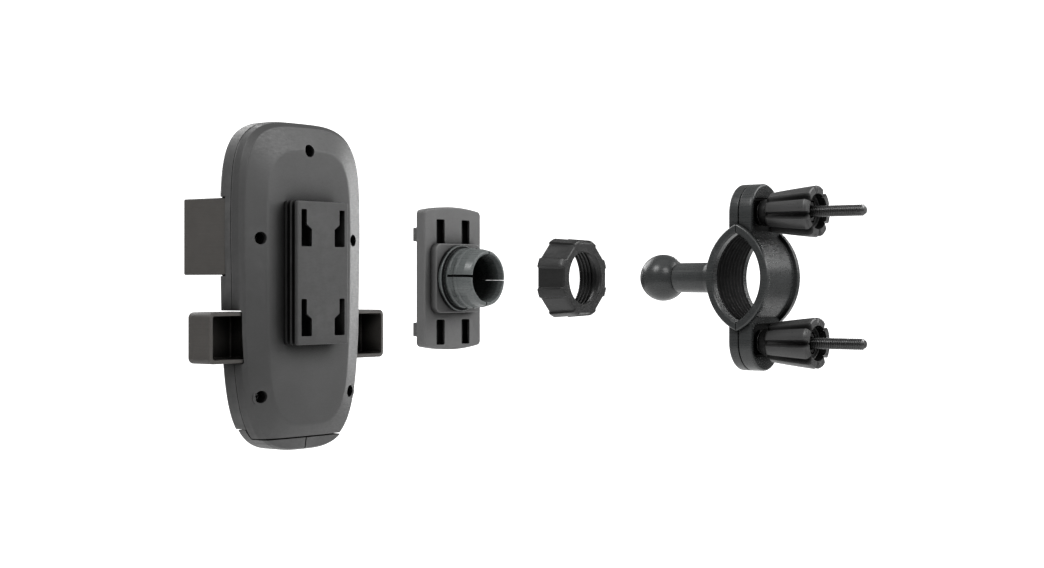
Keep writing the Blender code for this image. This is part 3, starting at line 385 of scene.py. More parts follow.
def turned(name, profile, x=0.0, z=0.0, steps=96):
    """A closed (radius, y) outline turned round an axis along Y; radius 0 points lie on the axis."""
    shape = bmesh.new()
    phase = next_phase(steps)
    rows = []
    for radius, y in profile:
        if radius < 1e-7:
            rows.append([shape.verts.new((x, y, z))])
            continue
        ring = []
        for i in range(steps):
            angle = math.tau * i / steps + phase
            ring.append(shape.verts.new((x + radius * math.cos(angle), y, z + radius * math.sin(angle))))
        rows.append(ring)
    for k, row in enumerate(rows):
        following = rows[(k + 1) % len(rows)]
        if len(row) == 1 and len(following) == 1:
            continue
        for i in range(steps):
            j = (i + 1) % steps
            if len(row) == 1:
                shape.faces.new((row[0], following[j], following[i]))
            elif len(following) == 1:
                shape.faces.new((row[i], row[j], following[0]))
            else:
                shape.faces.new((row[i], row[j], following[j], following[i]))
    return from_bmesh(name, shape)


def rod(name, radius, ends, across=0.0, z=0.0, sides=48, along="Y"):
    """A cylinder between two ends along Y or X, with its middle at an x or y across and a height z."""
    phase = next_phase(sides)
    rings = []
    for at in ends:
        ring = []
        for i in range(sides):
            angle = math.tau * i / sides + phase
            u, v = across + radius * math.cos(angle), z + radius * math.sin(angle)
            ring.append((u, at, v) if along == "Y" else (at, u, v))
        rings.append(ring)
    return loft(name, rings)


def hex_radius(angle, size):
    """Distance to a hexagon's edge in one direction, for corners at a size."""
    part = (angle % (math.pi / 3)) - math.pi / 6
    return size * math.cos(math.pi / 6) / math.cos(part)


def upright(name, outline, z, edge=0.0):
    """An (x, y) outline between two heights, its two ends drawn in by an edge."""
    lower, upper = sorted(z)
    stations = [(lower, 0.0), (upper, 0.0)]
    if edge:
        stations = [(lower, edge), (lower + edge, 0.0), (upper - edge, 0.0), (upper, edge)]
    return loft(name, [[(u, v, at) for u, v in inset_outline(outline, inset)] for at, inset in stations])


def polar_loft(name, stations, radius_at, z=0.0, steps=128):
    """A skin round an axis along Y whose radius follows a function of angle and station."""
    rings = []
    for station in stations:
        ring = []
        for i in range(steps):
            angle = math.tau * i / steps
            radius, y = radius_at(angle, station)
            ring.append((radius * math.cos(angle), y, z + radius * math.sin(angle)))
        rings.append(ring)
    return loft(name, rings)


# ---- materials


def feed(tree, socket, value):
    """Links another node's output to a socket, or sets the socket's own value."""
    if isinstance(value, bpy.types.NodeSocket):
        tree.links.new(value, socket)
    else:
        socket.default_value = value


def add(tree, kind, settings):
    """A new shader node with its inputs linked or set by name."""
    node = tree.nodes.new("ShaderNode" + kind)
    for key, value in settings.items():
        feed(tree, node.inputs[key], value)
    return node


def noise(tree, coords, scale, detail, stretch=None, roughness=0.55):
    if stretch:
        coords = add(tree, "Mapping", {"Vector": coords, "Scale": stretch}).outputs["Vector"]
    settings = {"Vector": coords, "Scale": scale, "Detail": detail, "Roughness": roughness}
    return add(tree, "TexNoise", settings).outputs["Fac"]


def ranged(tree, value, low_in, high_in, low_out, high_out):
    limits = {"From Min": low_in, "From Max": high_in, "To Min": low_out, "To Max": high_out}
    return add(tree, "MapRange", {"Value": value, **limits}).outputs["Result"]


def calculated(tree, operation, *values):
    node = tree.nodes.new("ShaderNodeMath")
    node.operation = operation
    for socket, value in zip(node.inputs, values):
        feed(tree, socket, value)
    return node.outputs[0]


def mixed(tree, blend_type, factor, first, second):
    node = tree.nodes.new("ShaderNodeMix")
    node.data_type = "RGBA"
    node.blend_type = blend_type
    for key, value in (("Factor", factor), ("A", first), ("B", second)):
        feed(tree, node.inputs[key], value)
    return node.outputs["Result"]


def bumped(tree, height, strength, distance, normal=None):
    settings = {"Height": height, "Strength": strength, "Distance": distance}
    if normal:
        settings["Normal"] = normal
    return add(tree, "Bump", settings).outputs["Normal"]


def painted_cavity_shade(tree, open_from, open_to):
    """Painted shade: low in slots, bores and grooves, and one on open faces; it dims colour and reflection
    there.
    """
    hollow = add(tree, "AmbientOcclusion", {"Distance": 12.0 * MM})
    hollow.samples = 8
    return ranged(tree, hollow.outputs["AO"], open_from, open_to, 0.06, 1.0)


def surface(name, dark, light, roughness, grain=2600.0, relief=0.3, edge_wear_and_highlight=0.5, scuff=0.1, metallic=0.0,
            specular=0.5, shade=(0.42, 0.92)):
    """A moulded or machined surface: cloudy colour, fine grain, uneven gloss, paler edges that are partly
    wear and partly painted highlight, and painted shade in hollows.
    """
    material = bpy.data.materials.new(name)
    material.use_nodes = True
    tree = material.node_tree
    shader = tree.nodes["Principled BSDF"]
    coords = tree.nodes.new("ShaderNodeTexCoord").outputs["Object"]

    cloud = noise(tree, coords, 70.0, 4.0)
    mottle = noise(tree, coords, 900.0, 2.0)
    blend = calculated(tree, "MULTIPLY_ADD", mottle, 0.35, ranged(tree, cloud, 0.3, 0.7, 0.0, 0.65))
    ramp = tree.nodes.new("ShaderNodeValToRGB")
    ramp.color_ramp.elements[0].color = (*dark, 1.0)
    ramp.color_ramp.elements[1].color = (*light, 1.0)
    tree.links.new(blend, ramp.inputs["Fac"])

    # Paler convex edges, partly edge wear and partly a painted highlight along the edges.
    edge = tree.nodes.new("ShaderNodeNewGeometry").outputs["Pointiness"]
    worn_and_lit_edges = ranged(tree, edge, 0.505, 0.60, 0.0, edge_wear_and_highlight)
    patchy = ranged(tree, noise(tree, coords, 240.0, 5.0), 0.35, 0.65, 0.3, 1.0)
    paler = (*[min(1.0, 0.04 + 2.2 * level) for level in light], 1.0)
    edges_worn_and_lit = mixed(tree, "MIX", calculated(tree, "MULTIPLY", worn_and_lit_edges, patchy), ramp.outputs["Color"], paler)
    # Painted shade from ambient occlusion darkens the colour in slots, bores, grooves and pockets.
    painted_shade_factor = painted_cavity_shade(tree, *shade)
    painted_shade_colour = mixed(tree, "MULTIPLY", 1.0, edges_worn_and_lit, painted_shade_factor)

    fine = noise(tree, coords, grain, 2.0)
    streaks = noise(tree, coords, 420.0, 6.0, (1.0, 0.12, 3.0), 0.7)
    uneven = ranged(tree, streaks, 0.35, 0.7, roughness - scuff, roughness + scuff)
    gloss = calculated(tree, "ADD", uneven, ranged(tree, fine, 0.3, 0.7, -0.04, 0.04))
    grain_normal = bumped(tree, fine, relief, 0.04 * MM)

    # The painted shade also dims the reflection (Specular IOR Level) in hollows.
    for key, value in (
        ("Metallic", metallic),
        ("Base Color", painted_shade_colour),
        ("Specular IOR Level", ranged(tree, painted_shade_factor, 0.0, 1.0, 0.1 * specular, specular)),
        ("Roughness", gloss),
        ("Normal", bumped(tree, cloud, 0.25, 0.10 * MM, grain_normal)),
    ):
        feed(tree, shader.inputs[key], value)
    return material


def grey(level, warm=0.0, green=0.0):
    return (level * (1 + warm), level * (1 + green), level * (1 - warm))


# Each material's shade range sets how deep its painted shade goes in hollows; the socket's darkens the
# collet mouth, the ring's its bore.
CRADLE = surface("cradle_shell", grey(0.040), grey(0.052), 0.48, edge_wear_and_highlight=0.25)
CRADLE_PAD = surface("cradle_pad", grey(0.029), grey(0.037), 0.52, relief=0.35, edge_wear_and_highlight=0.25)
JAW = surface("jaw_shell", grey(0.044, 0.08), grey(0.054, 0.08), 0.55, relief=0.35, edge_wear_and_highlight=0.2)
PLATE_GREY = surface("plate_shell", grey(0.090), grey(0.110), 0.55, relief=0.35, edge_wear_and_highlight=0.15)
SOCKET = surface("socket_shell", grey(0.095, -0.04, 0.05), grey(0.120, -0.04, 0.05), 0.30,
                 relief=0.10, edge_wear_and_highlight=0.3, scuff=0.05, shade=(0.74, 0.95))
KNOB = surface("knob_shell", grey(0.034), grey(0.047), 0.36,
               relief=0.22, edge_wear_and_highlight=0.3, shade=(0.25, 0.85))
RING = surface("ring_shell", grey(0.011), grey(0.018), 0.36,
               relief=0.22, edge_wear_and_highlight=0.25, specular=0.4, shade=(0.55, 0.95))
CLAMP = surface("clamp_shell", grey(0.022, -0.04, 0.03), grey(0.032, -0.04, 0.03), 0.31,
                relief=0.16, edge_wear_and_highlight=0.3)
RUBBER = surface("rubber_skin", grey(0.004), grey(0.007), 0.80,
                 grain=1800.0, relief=0.4, edge_wear_and_highlight=0.05, specular=0.15)
BLACK_STEEL = surface("black_steel_skin", grey(0.045), grey(0.08), 0.34,
                      grain=3200.0, relief=0.12, metallic=0.85)
SCREW_STEEL = surface("screw_steel_skin", grey(0.42), grey(0.55), 0.30,
                      grain=3200.0, relief=0.12, metallic=1.0, shade=(0.0, 0.25))
ZINC = surface("zinc_steel_skin", grey(0.20), grey(0.27), 0.36,
               grain=3000.0, relief=0.1, edge_wear_and_highlight=0.3, metallic=1.0)


def sealed(obj):
    """The mesh welded, with any hairline opening left by the Booleans filled."""
    shape = bmesh.new()
    shape.from_mesh(obj.data)
    bmesh.ops.remove_doubles(shape, verts=shape.verts, dist=0.002 * MM)
    bmesh.ops.dissolve_degenerate(shape, dist=0.001 * MM, edges=shape.edges)
    rim = [edge for edge in shape.edges if edge.is_boundary]
    bmesh.ops.holes_fill(shape, edges=rim, sides=0)
    bmesh.ops.recalc_face_normals(shape, faces=shape.faces)
    shape.to_mesh(obj.data)
    shape.free()
    return obj


def coated(obj, material):
    """The object with one material on every face."""
    obj.data.materials.clear()
    obj.data.materials.append(material)
    for polygon in obj.data.polygons:
        polygon.material_index = 0
    return obj


def publish(obj, node, body, material, angle=38):
    """A finished piece that stands for its CAD node."""
    sealed(obj)
    obj.name = node + "_form"
    obj.data.name = obj.name
    smooth(coated(obj, material), angle)
    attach(obj, body)
    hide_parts(node)


def dressed(node, material):
    """A CAD node that keeps its shape and gets a finer finish."""
    coated(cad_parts[node], material)


# ---- handlebar clamp


def arch(name, section, direction, steps=72):
    """An (x, offset) section swept along the bore's arc; both ends lie on the parting plane."""
    centre = BORE_DEPTH - BORE_RADIUS
    rings = []
    for k in range(steps + 1):
        share = 2 * k / steps - 1
        ring = []
        for x, offset in section:
            radius = BORE_RADIUS + offset
            turn = share * math.acos((GAP / 2 - centre) / radius)
            ring.append((x, direction * (centre + radius * math.cos(turn)), radius * math.sin(turn)))
        rings.append(ring)
    return loft(name, rings)


def lens(grown):
    """The (y, z) outline of the bore, grown outwards."""
    centre = BORE_DEPTH - BORE_RADIUS
    radius = BORE_RADIUS + grown
    half = math.degrees(math.acos(-centre / radius))
    front = arc((centre, 0.0), radius, -half, half, 48)
    rear = [(-y, z) for y, z in reversed(front)]
    return front + rear[1:-1]


def lug(name, direction, sign, depth, edge):
    """A strip that ends round its bolt, its outer rim rounded."""
    inner = sign * (BORE_HALF_HEIGHT - STRAP_WALL)
    outline = arc((0.0, sign * BOLT_Z), LUG_RADIUS, 0, sign * 180, 40)
    outline = [(LUG_RADIUS, inner), *outline, (-LUG_RADIUS, inner)]
    face = direction * (GAP / 2 + depth)
    return slab(name, outline, direction * GAP / 2, face, edges=(0.35 * MM, edge))


def lugs(direction, depth, edge):
    """Both lugs of a clamp half, cut clear of the bore and of the liner's bed."""
    result = []
    for sign in (1, -1):
        clearance = slab("bore", lens(HAIR), -2 * STRAP_HALF, 2 * STRAP_HALF, "X")
        bed = slab("bed", lens(LINER_DEPTH + HAIR), -LINER_HALF - HAIR, LINER_HALF + HAIR, "X")
        result.append(cut(lug("lug", direction, sign, depth, edge), clearance, bed))
    return result


def bolt_holes():
    return [rod("hole", BOLT_HOLE, (-12 * MM, 12 * MM), z=sign * BOLT_Z) for sign in (1, -1)]


def strap_section(outer):
    """A strap's (x, offset) section: chamfered rims, its outer corners and the liner's bed."""
    right = [(STRAP_HALF, STRAP_CHAMFER, 0.1 * MM), *outer]
    bed = [
        (STRAP_HALF - STRAP_CHAMFER, 0.0, 0.1 * MM),
        (LINER_HALF, 0.0, 0.0),
        (LINER_HALF, LINER_DEPTH, 0.0),
    ]
    left = [(-x, offset, radius) for x, offset, radius in reversed(right)]
    left_bed = [(-x, offset, radius) for x, offset, radius in bed]
    return filleted(right + left + left_bed + bed[::-1], closed=True)


def flare(start):
    """The root's outline, sweeping in from the strap to the neck."""
    points = []
    for k in range(13):
        share = k / 12
        radius = NECK_ROOT + (ROOT_RADIUS - NECK_ROOT) * (1 - share) ** 2.6
        points.append((radius, start + (ROOT_Y - start) * share))
    return points


def clamp_base():
    """Rear half: an arch with rounded rims, two lugs and the stud's root."""
    body = arch("clamp_base_form", strap_section([(STRAP_HALF, STRAP_WALL, 0.8 * MM)]), -1)
    root_y = -BORE_DEPTH - 1.6 * MM
    both = lugs(-1, BASE_LUG, 1.0 * MM)
    join(body, *both, turned("root", [(0.0, root_y), *flare(root_y), (0.0, ROOT_Y)]))
    cut(body, *bolt_holes())
    publish(body, "clamp_base", "clamp", CLAMP)


def clamp_cap():
    """Front half: a channel-shaped arch with raised rims, and lugs with a pocket for each nut."""
    rim = STRAP_HALF - 2.4 * MM
    floor = STRAP_WALL - BAND_DEPTH
    body = arch("clamp_cap_form", strap_section([
        (STRAP_HALF, STRAP_WALL, 0.7 * MM),
        (rim, STRAP_WALL, 0.35 * MM),
        (rim - 0.5 * MM, floor, 0.4 * MM),
    ]), 1)
    join(body, *lugs(1, CAP_LUG, 0.8 * MM))
    pockets = []
    for sign in (1, -1):
        middle = sign * (POCKET_HIGH_Z + POCKET_LOW_Z) / 2
        half = (POCKET_HIGH_Z - POCKET_LOW_Z) / 2
        outline = rounded_box_outline(POCKET_HALF_WIDTH, half, 2.5 * MM, v=middle)
        pockets.append(slab("pocket", outline, CAP_FACE - POCKET_DEPTH, CAP_FACE + 2 * MM))
    cut(body, *pockets, *bolt_holes())
    publish(body, "clamp_cap", "cap", CLAMP)


def liner(name, direction, body):
    """A rubber strip in the bore with eight low ribs, its ends a gap off the parting plane."""
    ribs = 8
    half = LINER_HALF - GAP
    section = [(-half, LINER_DEPTH - GAP), (half, LINER_DEPTH - GAP)]
    for i in range(ribs * 4 + 1):
        section.append((half - 2 * half * i / (ribs * 4), (0.02, 0.02, 0.22, 0.22)[i % 4] * MM))
    piece = arch(name, section, direction, 48)
    for vertex in piece.data.vertices:
        if direction * vertex.co.y < GAP:
            vertex.co.y = direction * GAP
    publish(piece, name, body, RUBBER, 50)


def thread(y, angle):
    """How deep a screw thread is at a height and angle."""
    phase = (y / BOLT_PITCH - angle / math.tau) % 1.0
    return 0.28 * MM * abs(2 * phase - 1)


def bolt(name, z):
    """A hexagon-head bolt with a rolled thread and a chamfered tip."""
    under = -BASE_LUG - 1.5 * GAP
    chamfer = 0.8 * MM
    stations = [("hex", under - BOLT_HEAD, 0.88), ("hex", under - BOLT_HEAD + 0.5 * MM, 1.0)]
    stations += [("hex", under, 1.0), ("shank", under, 0), ("shank", THREAD_START, 0)]
    count = int((BOLT_TIP - chamfer - THREAD_START) / BOLT_PITCH * 6)
    for k in range(1, count + 1):
        stations.append(("thread", THREAD_START + k * BOLT_PITCH / 6, min(1.0, k / 12)))
    stations += [("tip", BOLT_TIP, 0)]

    def radius_at(angle, station):
        kind, y, size = station
        if kind == "hex":
            return hex_radius(angle, BOLT_HEAD_RADIUS * size), y
        if kind == "tip":
            return BOLT_RADIUS - chamfer, y
        if kind == "thread":
            return BOLT_RADIUS - size * thread(y, angle), y
        return BOLT_RADIUS, y

    body = polar_loft(name, stations, radius_at, z=z, steps=36)
    publish(body, name, "clamp", BLACK_STEEL, 50)


def washer(name, z):
    seat = CAP_FACE - POCKET_DEPTH + GAP
    radius, thick = 4.5 * MM, 1.0 * MM
    section = filleted([
        (radius, seat + thick, 0.3 * MM),
        (radius, seat, 0.15 * MM),
        (BOLT_HOLE, seat, 0.15 * MM),
        (BOLT_HOLE, seat + thick, 0.3 * MM),
    ], closed=True)
    publish(turned(name, section, z=z), name, "cap", ZINC)


def lobes(angle, size, groove, phase=0.0):
    """The radius of a ring of rounded lobes with a U-shaped groove between each two."""
    part = ((angle - phase) * NUT_LOBES / math.tau) % 1.0 - 0.5
    reach = abs(abs(part) - 0.5)
    crown = 0.030 * (2 * part) ** 2
    depth = groove * max(0.0, 1 - (reach / GROOVE_HALF) ** 2) ** 0.6
    return size * (1 - crown) - depth


def hexagon(name, stations, radius, z):
    """A hexagonal prism through (y, scale) stations."""

    def radius_at(angle, station):
        y, scale = station
        return hex_radius(angle, radius * scale), y

    return polar_loft(name, stations, radius_at, z=z, steps=36)


def thumb_nut(name, z, body, phase):
    """A flaring grip of eight lobes over a round hub, recessed in its wide end."""
    rows = [(NUT_GRIP_Y, 1.3 * MM), (NUT_GRIP_Y + 0.3 * MM, 0.6 * MM), (NUT_GRIP_Y + 1.0 * MM, 0.0)]
    span = NUT_END_Y - NUT_GRIP_Y
    rows += [(NUT_GRIP_Y + span * k / 12, 0.0) for k in range(1, 12)]
    rows += [(NUT_END_Y - 0.9 * MM, 0.0), (NUT_END_Y - 0.3 * MM, 0.3 * MM), (NUT_END_Y, 0.9 * MM)]

    def radius_at(angle, station):
        y, drop = station
        share = (y - NUT_GRIP_Y) / span
        size = NUT_NARROW + (NUT_WIDE - NUT_NARROW) * share ** 0.85
        return lobes(angle, size, (1.0 + 1.6 * share) * MM, phase) - drop, y

    grip = polar_loft(name, rows, radius_at, z=z, steps=192)
    hub = turned("hub", filleted([
        (0.0, NUT_HUB_Y, 0.0),
        (NUT_HUB_RADIUS, NUT_HUB_Y, 0.4 * MM),
        (NUT_HUB_RADIUS, NUT_GRIP_Y + 1.5 * MM, 0.0),
        (0.0, NUT_GRIP_Y + 1.5 * MM, 0.0),
    ]), z=z)
    join(grip, hub)
    floor = NUT_END_Y - NUT_RECESS
    recess = turned("recess", filleted([
        (0.0, floor, 0.0),
        (6.0 * MM, floor, 0.5 * MM),
        (6.3 * MM, NUT_END_Y + MM, 0.0),
        (0.0, NUT_END_Y + MM, 0.0),
    ]), z=z)
    bore = rod("bore", BOLT_HOLE, (0.0, BOLT_TIP), z=z)
    stations = [(floor - INSERT_LENGTH - GAP, 1.0), (floor + MM, 1.0)]
    cut(grip, recess, bore, hexagon("pocket", stations, INSERT_RADIUS + 0.36 * MM, z))
    publish(grip, name, body, KNOB, 42)


def nut_insert(name, z, body):
    top = NUT_END_Y - NUT_RECESS
    bottom = top - INSERT_LENGTH
    rows = [(bottom, 0.92), (bottom + 0.4 * MM, 1.0), (top - 0.4 * MM, 1.0), (top, 0.92)]
    piece = hexagon(name, rows, INSERT_RADIUS, z)
    cut(piece, rod("bore", BOLT_HOLE, (0.0, BOLT_TIP), z=z))
    publish(piece, name, body, ZINC)


# ---- ball stud, ring nut and socket


def stud():
    """The neck, hollowed round the ball, and the ball with its faint moulding line."""
    seat = BALL_RADIUS + GAP
    widest = math.asin(NECK_RADIUS / seat)
    hollow = []
    for k in range(9):
        angle = widest * (1 - k / 8)
        hollow.append((seat * math.sin(angle), BALL_Y + seat * math.cos(angle)))
    outline = filleted([
        (0.0, ROOT_Y - GAP, 0.0),
        (NECK_ROOT, ROOT_Y - GAP, 0.0),
        (NECK_RADIUS + 0.1 * MM, ROOT_Y - 3.5 * MM, 3.0 * MM),
        (NECK_RADIUS, hollow[0][1], 0.0),
    ], 8)
    neck = turned("stud_neck", outline + hollow[1:])
    publish(neck, "stud_neck", "stud", CLAMP, 50)

    rows = []
    for k in range(49):
        angle = math.pi * k / 48
        rows.append((BALL_RADIUS * math.sin(angle), BALL_Y + BALL_RADIUS * math.cos(angle)))
    ball = turned("stud_ball", rows)
    centre = Vector((0.0, BALL_Y, 0.0))
    for vertex in ball.data.vertices:
        if abs(vertex.co.z) < 0.12 * MM and vertex.co.x > 0:
            vertex.co = centre + (vertex.co - centre) * 0.996
    publish(ball, "stud_ball", "ball", CLAMP, 60)


def ring_nut():
    """A tapered grip ring: a rib at each corner of an octagon, and a threaded bore with a lip."""
    corner, rounding = 22.5, 10.0
    rib_half, rib_flank = 8.2, 2.2
    flat = RING_FLAT * math.cos(math.radians(corner - rounding))

    def radius_at(angle, station):
        y, scale, drop = station
        turn = (math.degrees(angle) - corner) % (2 * corner)
        off_rib = min(turn, 2 * corner - turn)
        facet = min(flat / math.cos(math.radians(corner - off_rib)), RING_FLAT)
        rise = max(0.0, min(1.0, (rib_half - off_rib) / rib_flank))
        rise = rise * rise * (3 - 2 * rise)
        return scale * (facet + (RING_RADIUS - facet) * rise) - drop, y

    rounded = ((0.0, 0.9), (0.15, 0.45), (0.5, 0.1), (0.9, 0.0))
    rows = [(RING_LOW + y * MM, 1.0 - 0.004 * y / 0.9, drop * MM) for y, drop in rounded]
    for k in range(1, 10):
        share = k / 10
        rows.append((RING_LOW + (RING_HIGH - RING_LOW) * share, 1 - (1 - RING_TAPER) * share, 0.0))
    rows += [(RING_HIGH - y * MM, RING_TAPER, drop * MM) for y, drop in reversed(rounded)]
    ring = polar_loft("ring_nut", rows, radius_at, steps=288)
    crest, root = RING_BORE - 0.22 * MM, RING_BORE + 0.2 * MM
    bore = [
        (0.0, RING_HIGH + MM),
        (RING_MOUTH + 0.5 * MM, RING_HIGH + MM),
        (RING_MOUTH + 0.5 * MM, RING_HIGH - 0.1 * MM),
        (RING_MOUTH, RING_HIGH - 0.6 * MM),
        (RING_MOUTH, RING_HIGH - 2 * MM),
        (RING_BORE - 1.0 * MM, RING_HIGH - 2 * MM),
        (crest, RING_HIGH - 4.6 * MM),
    ]
    for k in range(4):
        start = RING_HIGH - (5.2 + 1.6 * k) * MM
        bore += [(crest, start), (root, start - 0.4 * MM)]
        bore += [(root, start - 0.8 * MM), (crest, start - 1.2 * MM)]
    bore += [
        (crest, RING_LOW + 0.5 * MM),
        (RING_BORE + 0.3 * MM, RING_LOW - 0.3 * MM),
        (RING_BORE + 0.3 * MM, RING_LOW - MM),
        (0.0, RING_LOW - MM),
    ]
    cut(ring, turned("bore", bore, steps=128))
    publish(ring, "ring_nut", "ring", RING, 32)


def socket_collet():
    """The split socket: a tapered nose, two thread ridges, four slits, a flange and a hub."""
    root = MOUTH_Y - 18 * MM + BOSS + GAP
    floor = MOUTH_Y - 14 * MM
    tube = 12.0 * MM
    ridge = 0.35 * MM
    outside = [
        (10.4 * MM, MOUTH_Y, 0.2 * MM),
        (10.9 * MM, MOUTH_Y - 0.4 * MM, 0.2 * MM),
        (11.55 * MM, MOUTH_Y - 3.2 * MM, 0.6 * MM),
        (11.65 * MM, MOUTH_Y - 6.4 * MM, 0.2 * MM),
        (tube, MOUTH_Y - 6.9 * MM, 0.2 * MM),
        (tube, MOUTH_Y - 7.9 * MM, 0.2 * MM),
        (tube - ridge, MOUTH_Y - 8.4 * MM, 0.2 * MM),
        (tube - ridge, MOUTH_Y - 10.2 * MM, 0.2 * MM),
        (tube, MOUTH_Y - 10.7 * MM, 0.2 * MM),
        (tube, MOUTH_Y - 11.6 * MM, 0.2 * MM),
        (tube - ridge, MOUTH_Y - 12.0 * MM, 0.2 * MM),
        (tube - ridge, root + 1.6 * MM, 0.3 * MM),
        (13.2 * MM, root + 1.6 * MM, 0.5 * MM),
        (13.2 * MM, root, 0.2 * MM),
        (6.0 * MM, root, 0.0),
        (6.0 * MM, PLATE_BACK + MM, 0.3 * MM),
        (0.0, PLATE_BACK + MM, 0.0),
        (0.0, floor, 0.0),
        (7.4 * MM, floor, 1.5 * MM),
        (8.7 * MM, floor + 6.0 * MM, 2.0 * MM),
        (8.9 * MM, MOUTH_Y - 2.0 * MM, 0.5 * MM),
        (9.6 * MM, MOUTH_Y, 0.2 * MM),
    ]
    body = turned("socket_collet", filleted(outside, 3, closed=True), steps=128)
    for quarter, half in enumerate((0.5, 0.3, 0.15, 0.3)):
        slit = box("slit", (0.0, 13 * MM), (MOUTH_Y - 11 * MM, MOUTH_Y + MM), (-half * MM, half * MM))
        slit.data.transform(Matrix.Rotation(-math.radians(90 * quarter + 4.5), 4, "Y"))
        cut(body, slit)
    publish(body, "socket_collet", "socket", SOCKET, 32)


def claw_plate():
    """The plate: arched ends, soft edges, a square boss, four windows and four hooked claws."""
    half_width, half_height = high("claw_plate").x, (high("claw_plate").z - low("claw_plate").z) / 2
    crown = 1.6 * MM
    corners = [(half_width, -half_height + crown, 3.5 * MM), (half_width, half_height - crown, 3.5 * MM)]
    top = []
    for k in range(1, 12):
        across = 1 - 2 * k / 12
        top.append((half_width * across * 0.98, half_height - crown * across * across, 0.0))
    corners += top + [(-x, z, radius) for x, z, radius in reversed(corners)]
    corners += [(-x, -z, radius) for x, z, radius in top]
    plate = slab("claw_plate", filleted(corners, 8, closed=True), PLATE_BACK, PLATE_FACE,
                 edges=(0.6 * MM, 0.8 * MM))
    boss_outline = rounded_box_outline(13.8 * MM, 13.8 * MM, 3.0 * MM, steps=8)
    boss = slab("boss", boss_outline, PLATE_FACE - MM, PLATE_FACE + BOSS, edges=(0.0, 0.5 * MM))
    parts, windows = [boss], []
    tip = low("claw_plate").y
    for side in (1, -1):
        outer, inner, nose = side * 12.75 * MM, side * 10.25 * MM, side * 7.35 * MM
        core_x = (1.65 * MM, 10.25 * MM) if side > 0 else (-14.6 * MM, -5.25 * MM)
        for level in (1, -1):
            row = -1.5 * MM + level * ROW_Z
            profile = filleted([
                (outer, PLATE_BACK + MM, 0.0),
                (outer, tip, 0.6 * MM),
                (nose, tip, 0.8 * MM),
                (nose, tip + 2.4 * MM, 0.4 * MM),
                (inner, tip + 2.4 * MM, 0.6 * MM),
                (inner, PLATE_BACK + MM, 0.0),
            ], 4, closed=True)
            parts.append(upright("claw", profile, (row - CLAW_HALF, row + CLAW_HALF), 0.3 * MM))
            middle = row + level * MM
            outline = rounded_box_outline(2.5 * MM, 5.0 * MM, 0.6 * MM, side * 7.75 * MM, middle)
            windows.append(slab("window", outline, PLATE_BACK - MM, PLATE_FACE + MM))
            windows.append(box("core", core_x, (PLATE_BACK + 0.8 * MM, PLATE_FACE - 1.0 * MM),
                               (middle - 4.95 * MM, middle + 4.95 * MM)))
    join(plate, *parts)
    cut(plate, *windows, rod("bore", 6.3 * MM, (PLATE_BACK - MM, PLATE_FACE + BOSS + MM), sides=64))
    publish(plate, "claw_plate", "plate", PLATE_GREY)


# ---- cradle


def cradle_outline(inset, y):
    """The cradle's edge: a squarish oval whose sides draw in below the middle."""
    count = 176
    points = []
    for i in range(count):
        turn = math.tau * (i + 0.5) / count
        cosine, sine = math.cos(turn), math.sin(turn)
        x = math.copysign(abs(cosine) ** (2 / SIDE_POWER), cosine) * (HALF_WIDTH - inset)
        z = math.copysign(abs(sine) ** (2 / END_POWER), sine) * (HALF_HEIGHT - inset)
        draw_in = max(0.0, (TAPER_TOP - z) / TAPER_SPAN)
        points.append((x * (1 - TAPER * draw_in**2), y, CRADLE_Z + z))
    return points


def screw_places():
    places = [("top", 0.0, 54.9 * MM)]
    for side, sign in (("left", 1), ("right", -1)):
        places.append(("upper_" + side, sign * 28.0 * MM, 16.9 * MM))
        places.append(("lower_" + side, sign * 26.88 * MM, -49.6 * MM))
    return places


def arm_opening(side):
    half = ARM_HALF_HEIGHT + 1.5 * GAP
    outline = rounded_box_outline((ARM_BACK_Y - FRONT_Y + 1.5 * GAP + MM) / 2, half, 0.8 * MM,
                                  (ARM_BACK_Y + 1.5 * GAP + FRONT_Y - MM) / 2, ARM_Z)
    return slab("arm_opening", outline, side * ARM_POCKET_X, side * 1.2 * HALF_WIDTH, "X")


def jaw_opening(side):
    half = JAW_HALF_HEIGHT + 1.5 * GAP
    return box("jaw_opening", (side * (JAW_INNER_X - 1.5 * GAP), side * 1.2 * HALF_WIDTH),
               (JAW_BACK_Y + 1.5 * GAP, FRONT_Y - MM), (JAW_Z - half, JAW_Z + half))


def rack_opening(side):
    top = 10.2 * MM
    return box("rack_opening", (side * (JAW_INNER_X - 3.0 * MM - 1.5 * GAP), side * 1.2 * HALF_WIDTH),
               (RACK_FRONT_Y - GAP / 2, RACK_BACK_Y + GAP / 2),
               (JAW_Z - side * (RIB_REACH + 1.5 * GAP), JAW_Z + side * top))


def foot_space():
    lowest = CRADLE_Z - 1.2 * HALF_HEIGHT
    outline = [
        (BACK_Y + MM, lowest),
        (BACK_Y + MM, FOOT_SEAM_Z),
        (FOOT_SWEEP_Y, FOOT_SEAM_Z),
        (FOOT_SWEEP_Y, FOOT_FRONT_SEAM_Z),
        (FRONT_Y - MM, FOOT_FRONT_SEAM_Z),
        (FRONT_Y - MM, lowest),
    ]
    return slab("foot_space", outline, -HALF_WIDTH, HALF_WIDTH, "X")


def shell(name, outer, inner):
    """A closed shell through (inset, y) stations: inner skin out to the rim, then the outer skin back."""
    return loft(name, [cradle_outline(inset, y) for inset, y in inner + outer])


